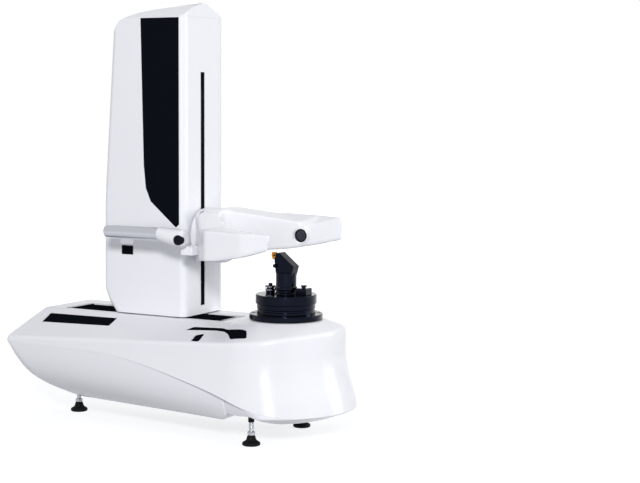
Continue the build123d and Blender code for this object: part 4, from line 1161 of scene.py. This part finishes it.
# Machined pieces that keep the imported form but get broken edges:
# node, name, body, slot, share of the edge
MACHINED = (
    ("spindle_rotor", "spindle_flange", "spindle", "black_steel", 1.0),
    ("spindle_screws", "spindle_cap_screws", "spindle", "black_steel", 0.6),
    ("adapter", "taper_adapter", "spindle", "black_steel", 1.0),
    ("clamp_block", "adapter_clamp_block", "spindle", "black_steel", 1.4),
    ("tool_holder", "cutting_tool", "tool", "black_steel", 2.2),
    ("tool_insert", "cutting_insert", "tool", "gold_carbide", 0.5),
    ("foot_studs", "levelling_studs", "base", "zinc", 1.0),
    ("foot_collars", "stud_collars", "base", "satin_black", 1.0),
    ("band_clamps", "band_clamp_bars", "base", "black_steel", 1.0),
    ("way_band", "way_cover_band", "base", "gloss_black", 0.6),
    ("grip_bar", "lift_grip", "optics", "satin_aluminium", 0.0),
    ("grip_head", "grip_head_shell", "optics", "gloss_white", 0.0),
    ("button_ring", "release_ring", "optics", "satin_black", 1.0),
    ("thumb_button", "release_button", "button", "black_steel", 0.0),
    ("grip_bracket", "grip_arm", "optics", "gloss_white", 4.0),
    ("switch_rocker", "rocker_key", "rocker", "gloss_black", 1.0),
    ("switch_bezel", "rocker_frame", "column", "satin_black", 0.8),
    ("slot_lips", "slot_edge", "column", "satin_black", 1.0),
    ("stripe_panel", "tower_stripe", "column", "gloss_black", 0.5),
    ("label_plate", "small_plate", "column", "satin_aluminium", 0.3),
    ("optic_windows", "optic_window_panes", "optics", "lens_glass", 0.4),
)


# Stage


def area_lamp(name, place, aim, size, power):
    """A rectangular lamp that looks at a point."""
    lamp = bpy.data.lights.new(name, "AREA")
    lamp.shape = "RECTANGLE"
    lamp.size, lamp.size_y = size
    lamp.energy = power
    holder = new_object(name, lamp)
    holder.location = place
    holder.rotation_euler = (Vector(aim) - Vector(place)).to_track_quat("-Z", "Y").to_euler()


def make_camera(settings):
    """The camera of the photograph."""
    turns = (
        (settings.camera_turn, "Z"), (math.pi / 2 - settings.camera_pitch, "X"),
        (settings.camera_roll, "Z"))
    camera = bpy.data.cameras.new("Camera")
    camera.lens = settings.lens
    camera.sensor_width = SENSOR_WIDTH
    camera.clip_start, camera.clip_end = VIEW_DEPTHS
    holder = new_object("Camera", camera)
    place = Matrix.Translation(settings.camera_place)
    for angle, axis in turns:
        place = place @ Matrix.Rotation(angle, 4, axis)
    holder.matrix_world = place
    bpy.context.scene.camera = holder
    return holder


def seen_mix(tree, plain, seen):
    """The seen shader for the camera, reflections and glass, and the plain one for other light."""
    path = add_node(tree, "ShaderNodeLightPath").outputs
    share = path["Is Camera Ray"]
    for other in ("Is Glossy Ray", "Is Transmission Ray"):
        share = add_node(tree, "ShaderNodeMath", {0: share, 1: path[other]}, operation="MAXIMUM")
    return add_node(tree, "ShaderNodeMixShader", {0: share, 1: plain, 2: seen})


def make_floor():
    """A pale floor that shows a soft shadow near the machine and is plain white elsewhere."""
    corners = [(a * FLOOR_HALF, b * FLOOR_HALF, 0) for a, b in ((-1, -1), (1, -1), (1, 1), (-1, 1))]
    floor = mesh_from("studio_floor", corners, [(0, 1, 2, 3)])
    paper = bpy.data.materials.new("White paper")
    tree = shader_tree(paper)
    spot = add_node(tree, "ShaderNodeTexCoord").outputs["Object"]
    away = add_node(tree, "ShaderNodeVectorMath", {0: spot}, operation="LENGTH")
    level = add_node(
        tree, "ShaderNodeMapRange", {"Value": away.outputs["Value"], **FLOOR_LIFT})
    matt = add_node(tree, "ShaderNodeBsdfDiffuse", {"Color": linear("B4B6B9")})
    lift = add_node(tree, "ShaderNodeEmission", {"Color": (1, 1, 1, 1), "Strength": level})
    lit = add_node(tree, "ShaderNodeAddShader", {0: matt, 1: lift})
    add_node(tree, "ShaderNodeOutputMaterial", {"Surface": seen_mix(tree, matt, lit)})
    floor.data.materials.append(paper)


def make_world(level):
    """Plain light from all round, and a white background for the eye, for metal and for glass."""
    world = bpy.data.worlds.new("Studio")
    bpy.context.scene.world = world
    tree = shader_tree(world)
    plain = add_node(tree, "ShaderNodeBackground", {"Color": linear("F6F8FF"), "Strength": level})
    white = add_node(tree, "ShaderNodeBackground", {"Color": (1, 1, 1, 1), "Strength": 1.0})
    add_node(tree, "ShaderNodeOutputWorld", {"Surface": seen_mix(tree, plain, white)})


# Operators and panel


class PresetterOperator:
    """What the operators share: the pieces are made or an error is raised."""

    bl_options = {"REGISTER", "UNDO"}

    def execute(self, context):
        made = self.build(context.scene)
        if not made:
            raise RuntimeError(self.bl_label + " made nothing")
        return {"FINISHED"}


class PRESETTER_OT_base_cover(PresetterOperator, bpy.types.Operator):
    """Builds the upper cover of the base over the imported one"""

    bl_idname = "presetter.base_cover"
    bl_label = "Base cover"

    def build(self, scene):
        return make_cover(scene.presetter_shell)


class PRESETTER_OT_base_pans(PresetterOperator, bpy.types.Operator):
    """Builds the lower pan and the tray under the round end"""

    bl_idname = "presetter.base_pans"
    bl_label = "Base pans"

    def build(self, scene):
        return make_pan(scene.presetter_shell), make_nose_tray(scene.presetter_shell)


class PRESETTER_OT_rubber(PresetterOperator, bpy.types.Operator):
    """Builds the pads of the feet and the dark sheet behind the vent slots, which is painted shade
    for the tower's inside
    """

    bl_idname = "presetter.rubber"
    bl_label = "Pads and filter"

    def build(self, scene):
        return make_feet(), make_vent_sheet()


class PRESETTER_OT_belts(PresetterOperator, bpy.types.Operator):
    """Copies the two runs of the belt, fixed in place, in black steel"""

    bl_idname = "presetter.belts"
    bl_label = "Belt runs"

    def build(self, scene):
        return make_belts()


class PRESETTER_OT_inlays(PresetterOperator, bpy.types.Operator):
    """Builds the black inlays that lie in the cover's recesses"""

    bl_idname = "presetter.inlays"
    bl_label = "Inlays"

    def build(self, scene):
        return make_inlays(scene.presetter_shell)


class PRESETTER_OT_tower(PresetterOperator, bpy.types.Operator):
    """Rounds the edges of the tower's shells"""

    bl_idname = "presetter.tower"
    bl_label = "Tower shells"

    def build(self, scene):
        edge = scene.presetter_shell.tower_edge
        return [dress(softened(node, name, edge), "column", "gloss_white", node)
                for node, name in TOWER_SHELLS]


class PRESETTER_OT_fork(PresetterOperator, bpy.types.Operator):
    """Rounds the fork and its two arms into one soft form, parted at a hairline seam"""

    bl_idname = "presetter.fork"
    bl_label = "Fork"

    def build(self, scene):
        return make_fork(scene.presetter_shell)


class PRESETTER_OT_machined(PresetterOperator, bpy.types.Operator):
    """Breaks the edges of the machined and moulded small pieces"""

    bl_idname = "presetter.machined"
    bl_label = "Machined pieces"

    def build(self, scene):
        edge = scene.presetter_shell.fine_edge
        made = []
        for node, name, body, slot_name, share in MACHINED:
            piece = softened(node, name, edge * share, 2)
            made.append(dress(piece, body, slot_name, node))
        return made


class PRESETTER_OT_knurl(PresetterOperator, bpy.types.Operator):
    """Sets the ridges round the clamp screw's head"""

    bl_idname = "presetter.knurl"
    bl_label = "Screw knurl"

    def build(self, scene):
        return make_knurl(scene.presetter_detail)


class PRESETTER_OT_finishes(PresetterOperator, bpy.types.Operator):
    """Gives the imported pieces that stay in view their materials"""

    bl_idname = "presetter.finishes"
    bl_label = "Finishes"

    def build(self, scene):
        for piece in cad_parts.values():
            slots = piece.data.materials
            for index, old in enumerate(slots):
                slot_name = old.name.split(".")[0]
                slots[index] = slot_material(slot_name)
        return True


class PRESETTER_OT_stage(PresetterOperator, bpy.types.Operator):
    """Sets up the camera, the lamps, the floor and the world"""

    bl_idname = "presetter.stage"
    bl_label = "Stage"

    def build(self, scene):
        settings = scene.presetter_stage
        scene.view_settings.view_transform = "Standard"
        make_world(settings.world_level)
        make_floor()
        for name, *how in LAMPS:
            area_lamp(name, *how, getattr(settings, name.lower() + "_power"))
        return make_camera(settings)


class PRESETTER_PT_panel(bpy.types.Panel):
    """Settings and buttons of the tool presetter"""

    bl_idname = "PRESETTER_PT_panel"
    bl_label = "Tool presetter"
    bl_space_type = "VIEW_3D"
    bl_region_type = "UI"
    bl_category = "Presetter"

    def draw(self, context):
        for name, kind in GROUPS.items():
            group = getattr(context.scene, name)
            box = self.layout.box()
            box.label(text=kind.__name__.replace("Settings", " settings"))
            for key in kind.__annotations__:
                box.prop(group, key)
        column = self.layout.column(align=True)
        for step in STEPS:
            column.operator(step.bl_idname)


STEPS = (
    PRESETTER_OT_base_cover, PRESETTER_OT_base_pans, PRESETTER_OT_rubber, PRESETTER_OT_belts,
    PRESETTER_OT_inlays, PRESETTER_OT_tower, PRESETTER_OT_fork, PRESETTER_OT_machined,
    PRESETTER_OT_knurl, PRESETTER_OT_finishes, PRESETTER_OT_stage,
)
GROUPS = {
    "presetter_shell": ShellSettings, "presetter_finish": FinishSettings,
    "presetter_detail": DetailSettings, "presetter_stage": StageSettings,
}


def register():
    for kind in (*GROUPS.values(), *STEPS, PRESETTER_PT_panel):
        bpy.utils.register_class(kind)
    for name, kind in GROUPS.items():
        setattr(bpy.types.Scene, name, PointerProperty(type=kind))


def unregister():
    for name in GROUPS:
        delattr(bpy.types.Scene, name)
    for kind in reversed((*GROUPS.values(), *STEPS, PRESETTER_PT_panel)):
        bpy.utils.unregister_class(kind)


def main():
    register()
    for step in STEPS:
        family, name = step.bl_idname.split(".")
        getattr(getattr(bpy.ops, family), name)()


if __name__ == "__main__":
    main()
